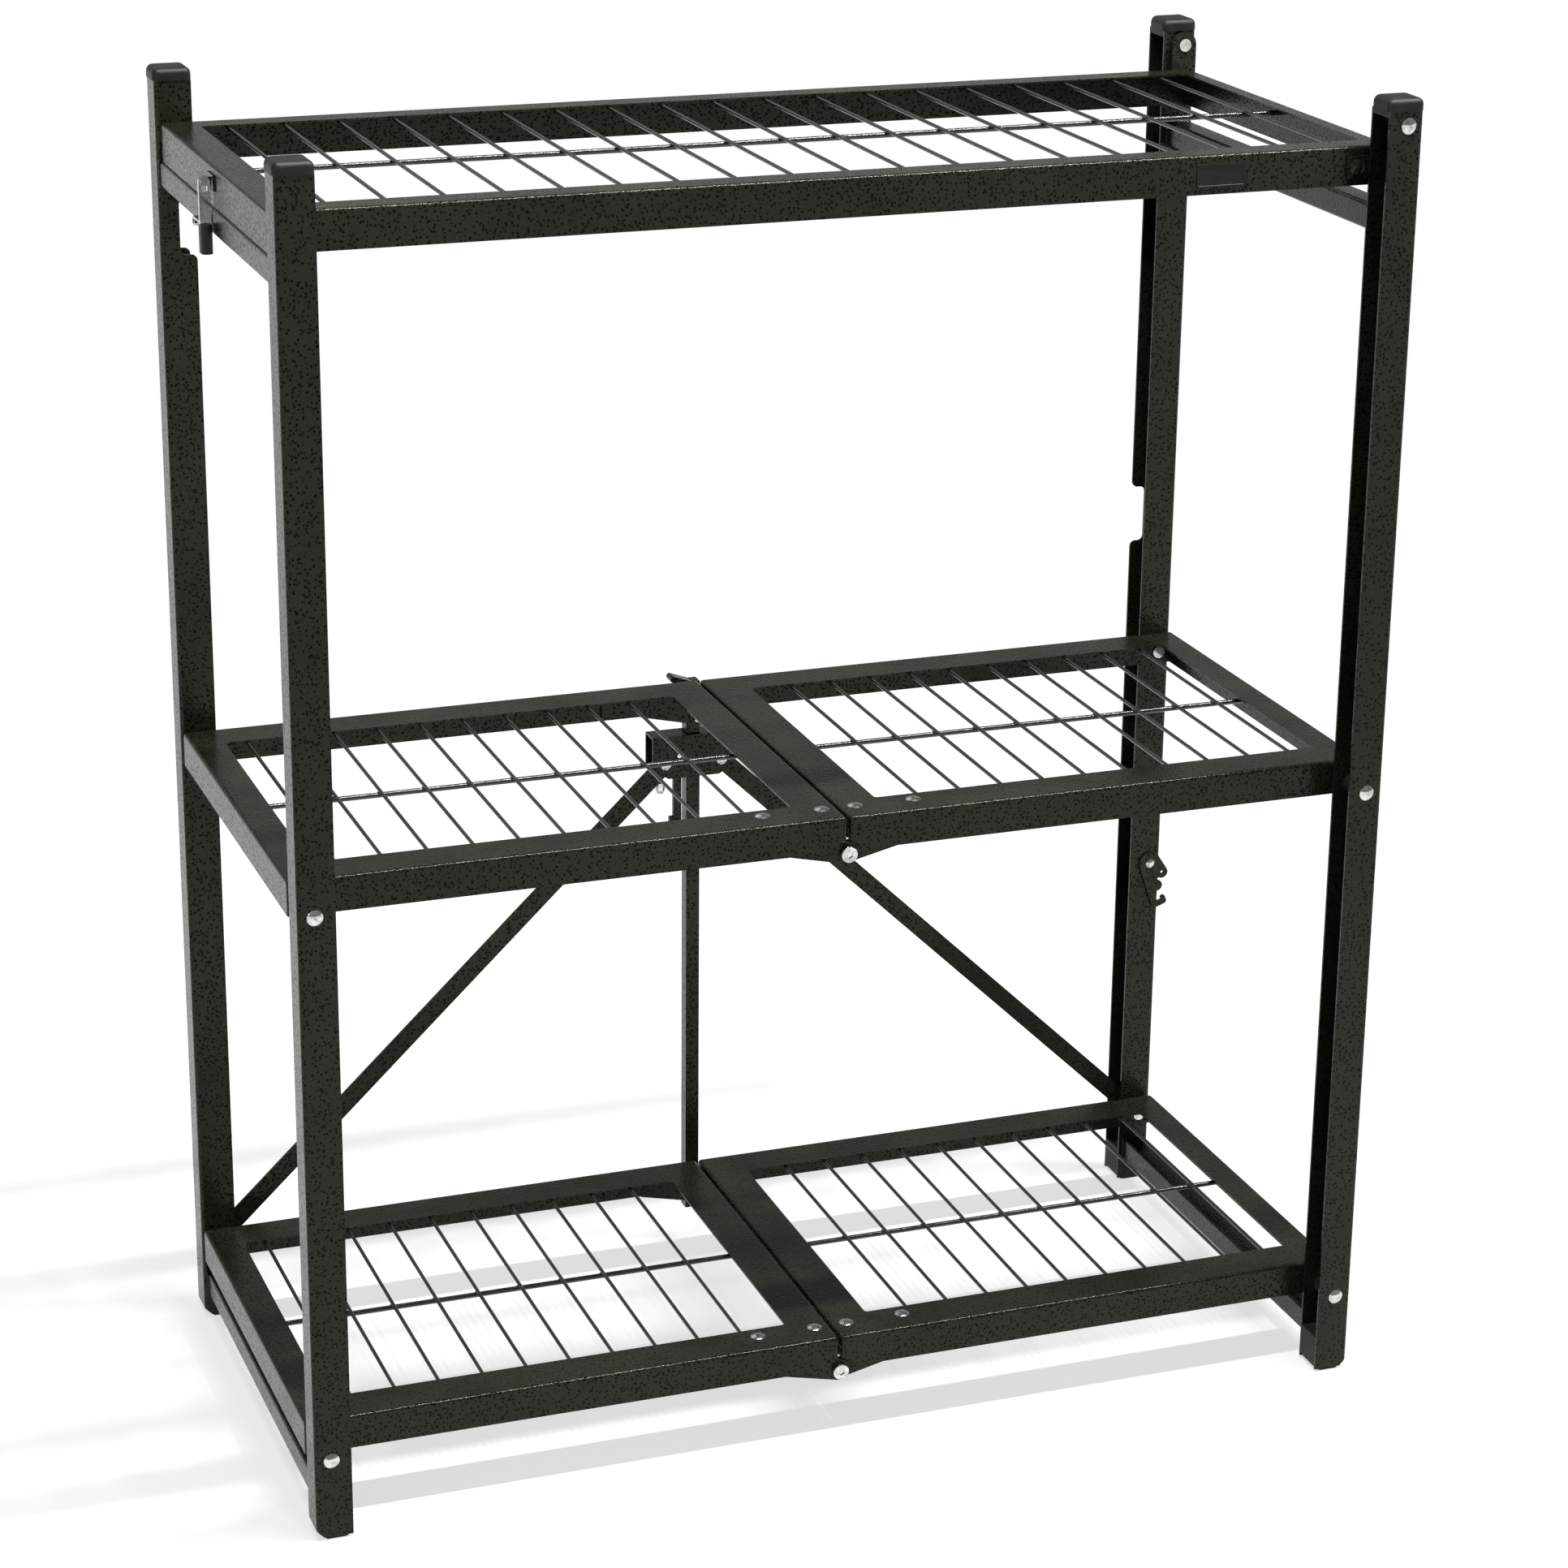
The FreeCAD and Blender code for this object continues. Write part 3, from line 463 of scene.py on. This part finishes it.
def round_edges(piece: bpy.types.Object, width: float, segments: int = 3, angle: float = 40.0) -> None:
    """Round a piece's sharp edges with an applied bevel modifier.

    Args:
        piece: The object.
        width: Width of the bevel in metres.
        segments: Number of steps across it.
        angle: Edges sharper than this many degrees are taken.
    """
    make_active(piece)
    bevel = piece.modifiers.new("rounding", "BEVEL")
    bevel.width = width
    bevel.segments = segments
    bevel.limit_method = "ANGLE"
    bevel.angle_limit = math.radians(angle)
    bpy.ops.object.modifier_apply(modifier=bevel.name)


def carve(piece: bpy.types.Object, tool: bpy.types.Object) -> None:
    """Cut one object out of another and remove the tool.

    Args:
        piece: The object that keeps its name.
        tool: The object that is cut away.
    """
    make_active(piece)
    cutter = piece.modifiers.new("carving", "BOOLEAN")
    cutter.object = tool
    cutter.operation = "DIFFERENCE"
    cutter.solver = "EXACT"
    bpy.ops.object.modifier_apply(modifier=cutter.name)
    bpy.data.objects.remove(tool)


def copy_to(piece: bpy.types.Object, step: Point) -> bpy.types.Object:
    """Copy a piece with its own mesh and shift the copy's mesh.

    Args:
        piece: The object to copy.
        step: How far the copy's mesh moves.

    Returns:
        The copy.
    """
    make_active(piece)
    bpy.ops.object.duplicate(linked=False)
    twin = bpy.context.object
    bpy.ops.transform.translate(value=step)
    settle()
    return twin


def join(pieces: list[bpy.types.Object], name: str) -> bpy.types.Object:
    """Join objects into one.

    Args:
        pieces: The objects; the first one keeps its place in the scene.
        name: Name of the result.

    Returns:
        The joined object.
    """
    make_active(pieces[0])
    for piece in pieces[1:]:
        piece.select_set(True)
    if len(pieces) > 1:
        bpy.ops.object.join()
    made = bpy.context.object
    made.name = name
    made.data.name = name
    return made


def set_smooth(piece: bpy.types.Object, angle: float = 32.0) -> None:
    """Shade a piece smooth apart from its sharp edges.

    Args:
        piece: The object.
        angle: Edges sharper than this many degrees stay sharp.
    """
    make_active(piece)
    bpy.ops.object.shade_smooth_by_angle(angle=math.radians(angle))
    clear_selection()


@dataclass
class SideFrames:
    """The two side frames: channel posts, caps, feet, cross tubes, pivot pins and their welds.

    A tube's place is its inset from the posts' outer faces and the height of its underside.
    """

    book: FinishBook
    post_wall: float = 154.0 * MM
    tube: float = 17.5 * MM
    low_tube: tuple[float, float] = (3.0 * MM, 18.0 * MM)
    high_tubes: dict[str, tuple[float, float]] = field(default_factory=lambda: {
        "left": (1.5 * MM, 813.3 * MM), "right": (1.5 * MM, 801.0 * MM)})
    bead: float = 1.25 * MM
    bead_sides: int = 10
    bead_cuts: int = 5
    ripple_long: float = 2.2 * MM
    ripple_deep: float = 0.9 * MM

    def dress(self) -> None:
        """Put finishes on the frames' own pieces."""
        for side in ("left", "right"):
            for part in ("front_post", "back_post", "low_tube", "high_tube"):
                self.book.dress_node(f"{side}_{part}", Slot.COAT)
            for part in ("caps", "spacers"):
                self.book.dress_node(f"{side}_{part}", Slot.CAP)
            self.book.dress_node(f"{side}_feet", Slot.FOOT)
            self.book.dress_node(f"{side}_pivot_pins", Slot.ZINC)

    def weld_ring(self) -> bpy.types.Object:
        """Model one weld bead that runs round a tube's end, at the origin.

        Returns:
            The bead, its ring square to Y.
        """
        clear_selection()
        bpy.ops.mesh.primitive_torus_add(
            major_segments=4, minor_segments=self.bead_sides, major_radius=self.tube / math.sqrt(2),
            minor_radius=self.bead, rotation=(math.pi / 2, math.pi / 4, 0))
        ring = bpy.context.object
        settle()
        edit_all()
        bpy.ops.mesh.subdivide(number_cuts=self.bead_cuts)
        leave_edit()
        clouds = bpy.data.textures.new("bead_ripple", "CLOUDS")
        clouds.noise_scale = self.ripple_long
        ripple = ring.modifiers.new("ripple", "DISPLACE")
        ripple.texture = clouds
        ripple.texture_coords = "LOCAL"
        ripple.strength = self.ripple_deep
        bpy.ops.object.modifier_apply(modifier=ripple.name)
        return ring

    def welds(self, side: str, sign: int) -> bpy.types.Object:
        """Place the four weld beads of one side frame.

        Args:
            side: Name of the side.
            sign: Minus one for the left side, one for the right.

        Returns:
            The side's beads as one piece.
        """
        first = self.weld_ring()
        beads = []
        for inset, base in (self.low_tube, self.high_tubes[side]):
            x = sign * (HALF_WIDTH - inset - self.tube / 2)
            for y in (-self.post_wall, self.post_wall):
                beads.append(copy_to(first, (x, y, base + self.tube / 2)))
        bpy.data.objects.remove(first)
        made = join(beads, f"{side}_tube_welds")
        set_smooth(made, WELD_SMOOTH)
        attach(made, f"{side}_side")
        self.book.dress_piece(made, Slot.COAT)
        return made

    def build(self) -> list[bpy.types.Object]:
        """Dress the frames and add their welds.

        Returns:
            The new pieces.
        """
        self.dress()
        return [self.welds("left", -1), self.welds("right", 1)]


@dataclass
class FoldingShelves:
    """The middle and low shelves, each in two halves on centre hinges, with their bolts and wire welds.

    Along Y a centre bolt runs from its nut, which bears on the inside of the rail, through the hinge. At
    the back a collar and the stay come next. The bolt's pieces sink a little into one another.
    """

    book: FinishBook
    levels: dict[str, float] = field(default_factory=lambda: {"mid": 442.5 * MM, "low": 71.0 * MM})
    centre_drop: float = 25.0 * MM
    nut_end: float = 141.0 * MM
    rail_face: float = 144.2 * MM
    hinge_face: float = 148.7 * MM
    collar_end: float = 159.9 * MM
    stay_face: float = 170.1 * MM
    sink: float = 0.1 * MM
    front_rise: float = 3.7 * MM
    back_rise: float = 2.6 * MM
    head_radius: float = 5.5 * MM
    head_sides: int = 40
    head_rim: float = 0.5 * MM
    dish_wide: float = 0.7 * MM
    dish_deep: float = 0.25 * MM
    head_round: float = 0.55 * MM
    socket: float = 2.7 * MM
    socket_lift: float = 0.6 * MM
    nut_radius: float = 5.6 * MM
    nut_rim: float = 0.8 * MM
    nut_round: float = 0.3 * MM
    nut_angle: float = 25.0
    shank_radius: float = 2.9 * MM
    shank_sides: int = 24
    shank_round: float = 0.2 * MM
    wire_count: int = 10
    wire_first: float = 38.5 * MM
    wire_pitch: float = 30.0 * MM
    nugget_drop: float = 3.7 * MM
    nugget_radius: float = 1.0 * MM
    nugget_stretch: Point = (2.0, 2.3, 1.1)
    nugget_press: Point = (1.15, 1.15, 0.8)
    nugget_pressed: float = 0.8

    def dress(self) -> None:
        """Put finishes on the shelves' own pieces."""
        for level in self.levels:
            for side in ("left", "right"):
                self.book.dress_node(f"{level}_{side}_tray", Slot.COAT)
                self.book.dress_node(f"{level}_{side}_wires", Slot.WIRE)
                self.book.dress_node(f"{level}_{side}_hinge_brackets", Slot.COAT)
                self.book.dress_node(f"{level}_{side}_rivets", Slot.ZINC)

    def head(self, name: str, seat: float, rise: float, z: float, facing: Facing) -> bpy.types.Object:
        """Model a round bolt head with a hexagon socket.

        Args:
            name: Name of the piece.
            seat: Y of the face that it bears on.
            rise: Height of the head.
            z: Height of the bolt's axis.
            facing: Direction that the socket faces.

        Returns:
            The head.
        """
        way = facing.value[1]
        head = cylinder(name, self.head_radius, rise, (0, seat + way * rise / 2, z), facing,
                        self.head_sides)
        select_faces(head, lambda normal: normal.y * way > LOOKS_ALONG)
        bpy.ops.mesh.inset(thickness=self.head_rim)
        bpy.ops.mesh.inset(thickness=self.dish_wide, depth=-self.dish_deep)
        round_edges(head, self.head_round)
        middle = (0, seat + way * (rise + self.socket_lift), z)
        carve(head, cylinder("socket", self.socket, rise, middle, facing, HEXAGON))
        return head

    def nut(self, name: str, low: float, high: float, z: float) -> bpy.types.Object:
        """Model a hexagon nut with its corners rounded.

        Args:
            name: Name of the piece.
            low: Lower Y of the nut.
            high: Higher Y of the nut.
            z: Height of its axis.

        Returns:
            The nut.
        """
        nut = cylinder(name, self.nut_radius, high - low, (0, (low + high) / 2, z), Facing.BACK, HEXAGON)
        select_faces(nut, lambda normal: abs(normal.y) > LOOKS_ALONG)
        bpy.ops.mesh.inset(thickness=self.nut_rim)
        round_edges(nut, self.nut_round, segments=2, angle=self.nut_angle)
        return nut

    def shank(self, name: str, low: float, high: float, z: float,
              collar: tuple[float, float] | None = None) -> bpy.types.Object:
        """Model the shank of a hinge bolt, with a distance collar where one is given.

        Args:
            name: Name of the piece.
            low: Lower Y of the shank.
            high: Higher Y of the shank.
            z: Height of its axis.
            collar: Lower and higher Y of the collar.

        Returns:
            The shank.
        """
        first = collar[0] if collar else high
        shank = cylinder(name, self.shank_radius, first - low, (0, (low + first) / 2, z), Facing.BACK,
                         self.shank_sides)
        if collar:
            wide = self.head_radius / self.shank_radius
            select_faces(shank, lambda normal: normal.y > LOOKS_ALONG)
            grow((0, 0, 0), wide)
            grow((0, collar[1] - collar[0], 0))
            grow((0, 0, 0), 1 / wide)
            grow((0, high - collar[1], 0))
        round_edges(shank, self.shank_round, segments=2)
        return shank

    def bolts(self, level: str) -> bpy.types.Object:
        """Model the two centre bolts of one shelf.

        Args:
            level: Name of the shelf.

        Returns:
            Both bolts as one piece.
        """
        z = self.levels[level] - self.centre_drop
        start = self.rail_face - self.sink
        front = [self.head("front_head", -self.hinge_face, self.front_rise, z, Facing.FRONT),
                 self.shank("front_shank", -self.hinge_face - self.sink, -start, z),
                 self.nut("front_nut", -self.rail_face, -self.nut_end, z)]
        back = [self.nut("back_nut", self.nut_end, self.rail_face, z),
                self.shank("back_shank", start, self.stay_face + 2 * self.sink, z,
                           (self.hinge_face, self.collar_end)),
                self.head("back_head", self.stay_face, self.back_rise, z, Facing.BACK)]
        made = join(front + back, f"{level}_socket_bolts")
        set_smooth(made)
        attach(made, f"{level}_right")
        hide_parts(f"{level}_hinge_bolts")
        self.book.dress_piece(made, Slot.ZINC)
        return made

    def nugget(self) -> bpy.types.Object:
        """Model one spot-weld nugget between two crossing wires, at the origin.

        Returns:
            The nugget.
        """
        clear_selection()
        bpy.ops.mesh.primitive_ico_sphere_add(subdivisions=2, radius=self.nugget_radius)
        bead = bpy.context.object
        edit_all()
        bpy.ops.transform.resize(value=self.nugget_stretch)
        select_faces(bead, lambda normal: abs(normal.z) > self.nugget_pressed)
        bpy.ops.transform.resize(value=self.nugget_press)
        leave_edit()
        return bead

    def wire_welds(self, level: str, side: str, sign: int) -> bpy.types.Object:
        """Place the spot welds of one shelf half.

        Args:
            level: Name of the shelf.
            side: Name of the half.
            sign: Minus one for the left half, one for the right.

        Returns:
            The half's welds as one piece.
        """
        first = self.nugget()
        z = self.levels[level] - self.nugget_drop
        spots = [sign * (HALF_WIDTH - self.wire_first - count * self.wire_pitch)
                 for count in range(self.wire_count)]
        made = join([copy_to(first, (x, 0, z)) for x in spots], f"{level}_{side}_wire_welds")
        bpy.data.objects.remove(first)
        set_smooth(made, WELD_SMOOTH)
        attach(made, f"{level}_{side}")
        self.book.dress_piece(made, Slot.WIRE)
        return made

    def build(self) -> list[bpy.types.Object]:
        """Dress the shelves and add their bolts and welds.

        Returns:
            The new pieces.
        """
        self.dress()
        made = [self.bolts(level) for level in self.levels]
        for level in self.levels:
            made.append(self.wire_welds(level, "left", -1))
            made.append(self.wire_welds(level, "right", 1))
        return made


@dataclass
class TopShelf:
    """The one-piece top shelf that lifts on its right end, with a blank pressed plate on its front rail."""

    book: FinishBook
    plate_middle: Point = (243.0 * MM, -150.0 * MM, 843.0 * MM)
    plate_size: Point = (34.0 * MM, 1.4 * MM, 15.0 * MM)
    corner: float = 2.2 * MM
    corner_steps: int = 5
    rim: float = 1.1 * MM
    rim_slope: float = 0.25 * MM
    rim_deep: float = 0.45 * MM
    rim_round: float = 0.2 * MM
    rim_angle: float = 50.0

    def dress(self) -> None:
        """Put finishes on the shelf's own pieces."""
        for part in ("top_tray", "top_ears", "top_ear_rivets"):
            self.book.dress_node(part, Slot.COAT)
        self.book.dress_node("top_wires", Slot.WIRE)

    def blank_plate(self) -> bpy.types.Object:
        """Model the blank oblong plate with a raised rim.

        Returns:
            The plate.
        """
        clear_selection()
        bpy.ops.mesh.primitive_cube_add(size=1, location=self.plate_middle)
        plate = bpy.context.object
        plate.scale = self.plate_size
        settle()
        bpy.ops.object.mode_set(mode="EDIT")
        bpy.ops.mesh.select_mode(type="EDGE")
        bpy.ops.mesh.select_all(action="DESELECT")
        cage = bmesh.from_edit_mesh(plate.data)
        for edge in cage.edges:
            along = edge.verts[0].co - edge.verts[1].co
            edge.select_set(abs(along.y) > abs(along.x) + abs(along.z))
        bmesh.update_edit_mesh(plate.data)
        bpy.ops.mesh.bevel(offset=self.corner, segments=self.corner_steps, affect="EDGES")
        select_faces(plate, lambda normal: normal.y < -LOOKS_ALONG)
        bpy.ops.mesh.inset(thickness=self.rim)
        bpy.ops.mesh.inset(thickness=self.rim_slope, depth=-self.rim_deep)
        leave_edit()
        round_edges(plate, self.rim_round, segments=2, angle=self.rim_angle)
        made = join([plate], "blank_rail_plate")
        set_smooth(made)
        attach(made, "top_shelf")
        self.book.dress_piece(made, Slot.CAP)
        return made

    def build(self) -> list[bpy.types.Object]:
        """Dress the shelf and add its plate.

        Returns:
            The new pieces.
        """
        self.dress()
        return [self.blank_plate()]


@dataclass
class EndLatch:
    """The lever latch on the left end of the top shelf."""

    book: FinishBook

    def build(self) -> list[bpy.types.Object]:
        """Dress the latch.

        Returns:
            The new pieces, of which it has none.
        """
        self.book.dress_node("latch_bracket", Slot.COAT)
        for part in ("latch_rod", "latch_strap", "latch_stud"):
            self.book.dress_node(part, Slot.ZINC)
        self.book.dress_node("latch_pull", Slot.CAP)
        return []


@dataclass
class BackMechanism:
    """The stay, braces, slider and lock behind the shelves, and the hook on the right back post.

    The knob stands on a narrower foot. Each of its steps is a rise and the growth of the radius there.
    """

    book: FinishBook
    plunger_x: float = -22.0 * MM
    plunger_y: float = 169.1 * MM
    plunger_low: float = 353.5 * MM
    slider_base: float = 367.5 * MM
    slider_roof: float = 397.8 * MM
    plunger_sides: int = 28
    knob_radius: float = 3.9 * MM
    foot_share: float = 0.72
    foot_rise: float = 1.0 * MM
    knob_steps: tuple[tuple[float, float], ...] = (
        (1.2 * MM, 1.39), (6.1 * MM, 1.0), (1.2 * MM, 0.6), (4.2 * MM, 1.0))
    shaft_over: float = 0.3 * MM
    plunger_round: float = 0.35 * MM
    plunger_angle: float = 25.0
    coil_radius: float = 3.1 * MM
    coil_wire: float = 0.4 * MM
    coil_sides: int = 8
    coil_turns: int = 9
    coil_steps: int = 20
    coil_low_gap: float = 1.2 * MM
    coil_high_gap: float = 1.0 * MM
    merge_gap: float = 0.01 * MM

    def dress(self) -> None:
        """Put finishes on the mechanism's own pieces."""
        for part in ("stay_bar", "slider_bracket", "left_brace", "right_brace", "lock_lever", "side_hook"):
            self.book.dress_node(part, Slot.COAT)
        for part in ("slider_rivets", "lever_pin", "hook_rivet"):
            self.book.dress_node(part, Slot.ZINC)

    def plunger(self) -> bpy.types.Object:
        """Model the lock plunger as a turned pin with a knob below.

        Returns:
            The plunger.
        """
        middle = (self.plunger_x, self.plunger_y, self.plunger_low + self.foot_rise / 2)
        pin = cylinder("plunger", self.knob_radius * self.foot_share, self.foot_rise, middle, Facing.DOWN,
                       self.plunger_sides)
        select_faces(pin, lambda normal: normal.z > LOOKS_ALONG)
        shaft = self.slider_roof - self.slider_base + self.shaft_over
        for rise, growth in (*self.knob_steps, (shaft, 1.0)):
            grow((0, 0, rise), growth)
        round_edges(pin, self.plunger_round, angle=self.plunger_angle)
        return pin

    def coil(self) -> bpy.types.Object:
        """Wind the return spring round the plunger.

        Returns:
            The spring.
        """
        clear_selection()
        low = self.slider_base + self.coil_low_gap
        bpy.ops.mesh.primitive_circle_add(
            vertices=self.coil_sides, radius=self.coil_wire, fill_type="NOTHING",
            location=(self.coil_radius, 0, 0), rotation=(math.pi / 2, 0, 0))
        spring = bpy.context.object
        settle()
        winding = spring.modifiers.new("winding", "SCREW")
        winding.steps = self.coil_steps
        winding.render_steps = self.coil_steps
        winding.iterations = self.coil_turns
        winding.screw_offset = (self.slider_roof - self.coil_high_gap - low) / self.coil_turns
        winding.use_merge_vertices = True
        bpy.ops.object.modifier_apply(modifier=winding.name)
        edit_all()
        bpy.ops.mesh.remove_doubles(threshold=self.merge_gap)
        bpy.ops.mesh.fill_holes(sides=self.coil_sides)
        bpy.ops.mesh.normals_make_consistent(inside=False)
        leave_edit()
        bpy.ops.transform.translate(value=(self.plunger_x, self.plunger_y, low))
        settle()
        return spring

    def lock_pin(self) -> bpy.types.Object:
        """Put the plunger and its spring together.

        Returns:
            Both as one piece.
        """
        made = join([self.plunger(), self.coil()], "sprung_plunger")
        set_smooth(made)
        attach(made, "slider")
        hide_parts("slider_plunger")
        self.book.dress_piece(made, Slot.ZINC)
        return made

    def build(self) -> list[bpy.types.Object]:
        """Dress the mechanism and add its sprung plunger.

        Returns:
            The new pieces.
        """
        self.dress()
        return [self.lock_pin()]


@dataclass(frozen=True)
class SoftLamp:
    """A square soft light, its side in metres and its power in watts."""

    name: str
    spot: Point
    side: float
    power: float

    def hang(self, target: Point) -> None:
        """Hang the lamp where it belongs and turn it towards a point.

        Args:
            target: The point that it looks at.
        """
        light = bpy.data.lights.new(self.name, "AREA")
        light.shape = "SQUARE"
        light.size = self.side
        light.energy = self.power
        holder = bpy.data.objects.new(self.name, light)
        bpy.context.scene.collection.objects.link(holder)
        holder.location = self.spot
        aim = Vector(target) - Vector(self.spot)
        holder.rotation_euler = aim.to_track_quat("-Z", "Y").to_euler()


@dataclass
class Studio:
    """Pale floor, soft light and the camera at the photograph's angle."""

    spot: Point = (-0.8818, -2.4211, 1.3272)
    yaw: float = 20.23
    pitch: float = -19.5
    roll: float = 0.61
    focal: float = 4985.0
    picture: int = 1932
    sensor_mm: float = 36.0
    view_reach: float = 200.0
    white: str = "#FFFFFF"
    floor_radius: float = 30.0
    floor_sides: int = 64
    floor_tone: str = "#F4F4F2"
    shadow_reach: tuple[float, float] = (0.9, 2.2)
    shadow_share: float = 0.34
    wall_top: tuple[float, float] = (0.03, 0.10)
    sky: float = 0.24
    rack_middle: Point = (0.0, 0.0, 0.45)
    lamp_count: int = 13
    lamp_row: tuple[float, float] = (-0.8, 2.2)
    lamp_row_place: tuple[float, float] = (-0.5, 2.85)
    lamp_row_power: float = 165.0
    lamp_side: float = 0.09
    softboxes: tuple[SoftLamp, ...] = (
        SoftLamp("back_softbox", (-0.8, 2.2, 2.8), 2.4, 10.0),
        SoftLamp("left_softbox", (-2.6, -1.8, 1.7), 1.2, 6.0))

    def floor(self) -> None:
        """Lay the floor as a wide flat disc."""
        clear_selection()
        bpy.ops.mesh.primitive_circle_add(vertices=self.floor_sides, radius=self.floor_radius,
                                          fill_type="NGON")
        ground = bpy.context.object
        ground.name = "studio_floor"
        made, tree, out = empty_material("studio_floor_paint")
        path = add_node(tree, "ShaderNodeLightPath")
        seen = add_node(tree, "ShaderNodeMath", {
            0: path.outputs["Is Camera Ray"], 1: path.outputs["Is Glossy Ray"]}, operation="MAXIMUM")
        seen = add_node(tree, "ShaderNodeMath", {
            0: seen.outputs[0], 1: path.outputs["Is Transmission Ray"]}, operation="MAXIMUM")
        paint = add_node(tree, "ShaderNodeBsdfDiffuse", {"Color": colour(self.floor_tone)})
        glow = add_node(tree, "ShaderNodeEmission", {
            "Color": colour(self.white), "Strength": seen.outputs[0]})
        # Shadows lie near the rack; further out the floor is plain white
        place = add_node(tree, "ShaderNodeTexCoord").outputs["Object"]
        reach = add_node(tree, "ShaderNodeVectorMath", {0: place}, operation="LENGTH")
        share = add_node(tree, "ShaderNodeMapRange", {
            "Value": reach.outputs["Value"], "From Min": self.shadow_reach[0],
            "From Max": self.shadow_reach[1], "To Min": 1 - self.shadow_share},
            interpolation_type="SMOOTHSTEP")
        blend = add_node(tree, "ShaderNodeMixShader", {
            "Fac": share.outputs["Result"], 1: paint.outputs[0], 2: glow.outputs[0]})
        tree.links.new(blend.outputs[0], out.inputs["Surface"])
        ground.data.materials.append(made)

    def world(self) -> None:
        """Stand a low white wall round the floor under an even grey room."""
        world = bpy.data.worlds.new("studio_room")
        bpy.context.scene.world = world
        world.use_nodes = True
        tree = world.node_tree
        tree.nodes.clear()
        way = add_node(tree, "ShaderNodeTexCoord").outputs["Generated"]
        lift = add_node(tree, "ShaderNodeSeparateXYZ", {"Vector": way})
        level = add_node(tree, "ShaderNodeMapRange", {
            "Value": lift.outputs["Z"], "From Min": self.wall_top[0], "From Max": self.wall_top[1],
            "To Min": 1.0, "To Max": self.sky}, interpolation_type="SMOOTHSTEP")
        room = add_node(tree, "ShaderNodeBackground", {
            "Color": colour(self.white), "Strength": level.outputs[0]})
        out = add_node(tree, "ShaderNodeOutputWorld")
        tree.links.new(room.outputs[0], out.inputs["Surface"])

    def lamps(self) -> None:
        """Hang a row of small lamps above the front of the rack, and the softboxes."""
        start, end = self.lamp_row
        for count in range(self.lamp_count):
            x = start + (end - start) * count / (self.lamp_count - 1)
            SoftLamp(f"top_lamp_{count + 1}", (x, *self.lamp_row_place), self.lamp_side,
                     self.lamp_row_power / self.lamp_count).hang(self.rack_middle)
        for softbox in self.softboxes:
            softbox.hang(self.rack_middle)

    def camera(self) -> None:
        """Stand the camera where the photograph was taken."""
        yaw, pitch, roll = (math.radians(turn) for turn in (self.yaw, self.pitch, self.roll))
        ahead = Vector((math.sin(yaw) * math.cos(pitch), math.cos(yaw) * math.cos(pitch), math.sin(pitch)))
        level = Vector((math.cos(yaw), -math.sin(yaw), 0))
        above = level.cross(ahead)
        right = math.cos(roll) * level + math.sin(roll) * above
        up = -math.sin(roll) * level + math.cos(roll) * above
        lens = bpy.data.cameras.new("photo_camera")
        lens.sensor_width = self.sensor_mm
        lens.lens = self.focal / self.picture * self.sensor_mm
        lens.clip_end = self.view_reach
        holder = bpy.data.objects.new("photo_camera", lens)
        bpy.context.scene.collection.objects.link(holder)
        turn = Matrix((right, up, -ahead)).transposed().to_4x4()
        holder.matrix_world = Matrix.Translation(self.spot) @ turn
        bpy.context.scene.camera = holder

    def build(self) -> None:
        """Set up the floor, the light and the camera."""
        self.floor()
        self.world()
        self.lamps()
        self.camera()
        bpy.context.scene.view_settings.view_transform = "Standard"


def main() -> None:
    """Dress the frame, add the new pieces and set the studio."""
    logging.basicConfig(level=logging.INFO, format="%(message)s")
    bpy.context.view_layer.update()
    clear_selection()
    book = FinishBook()
    book.build()
    made: list[bpy.types.Object] = []
    for part in (SideFrames(book), FoldingShelves(book), TopShelf(book), EndLatch(book), BackMechanism(book)):
        made += part.build()
    for piece in made:
        log.info("%s: %d faces", piece.name, len(piece.data.polygons))
    Studio().build()


if __name__ == "__main__":
    main()
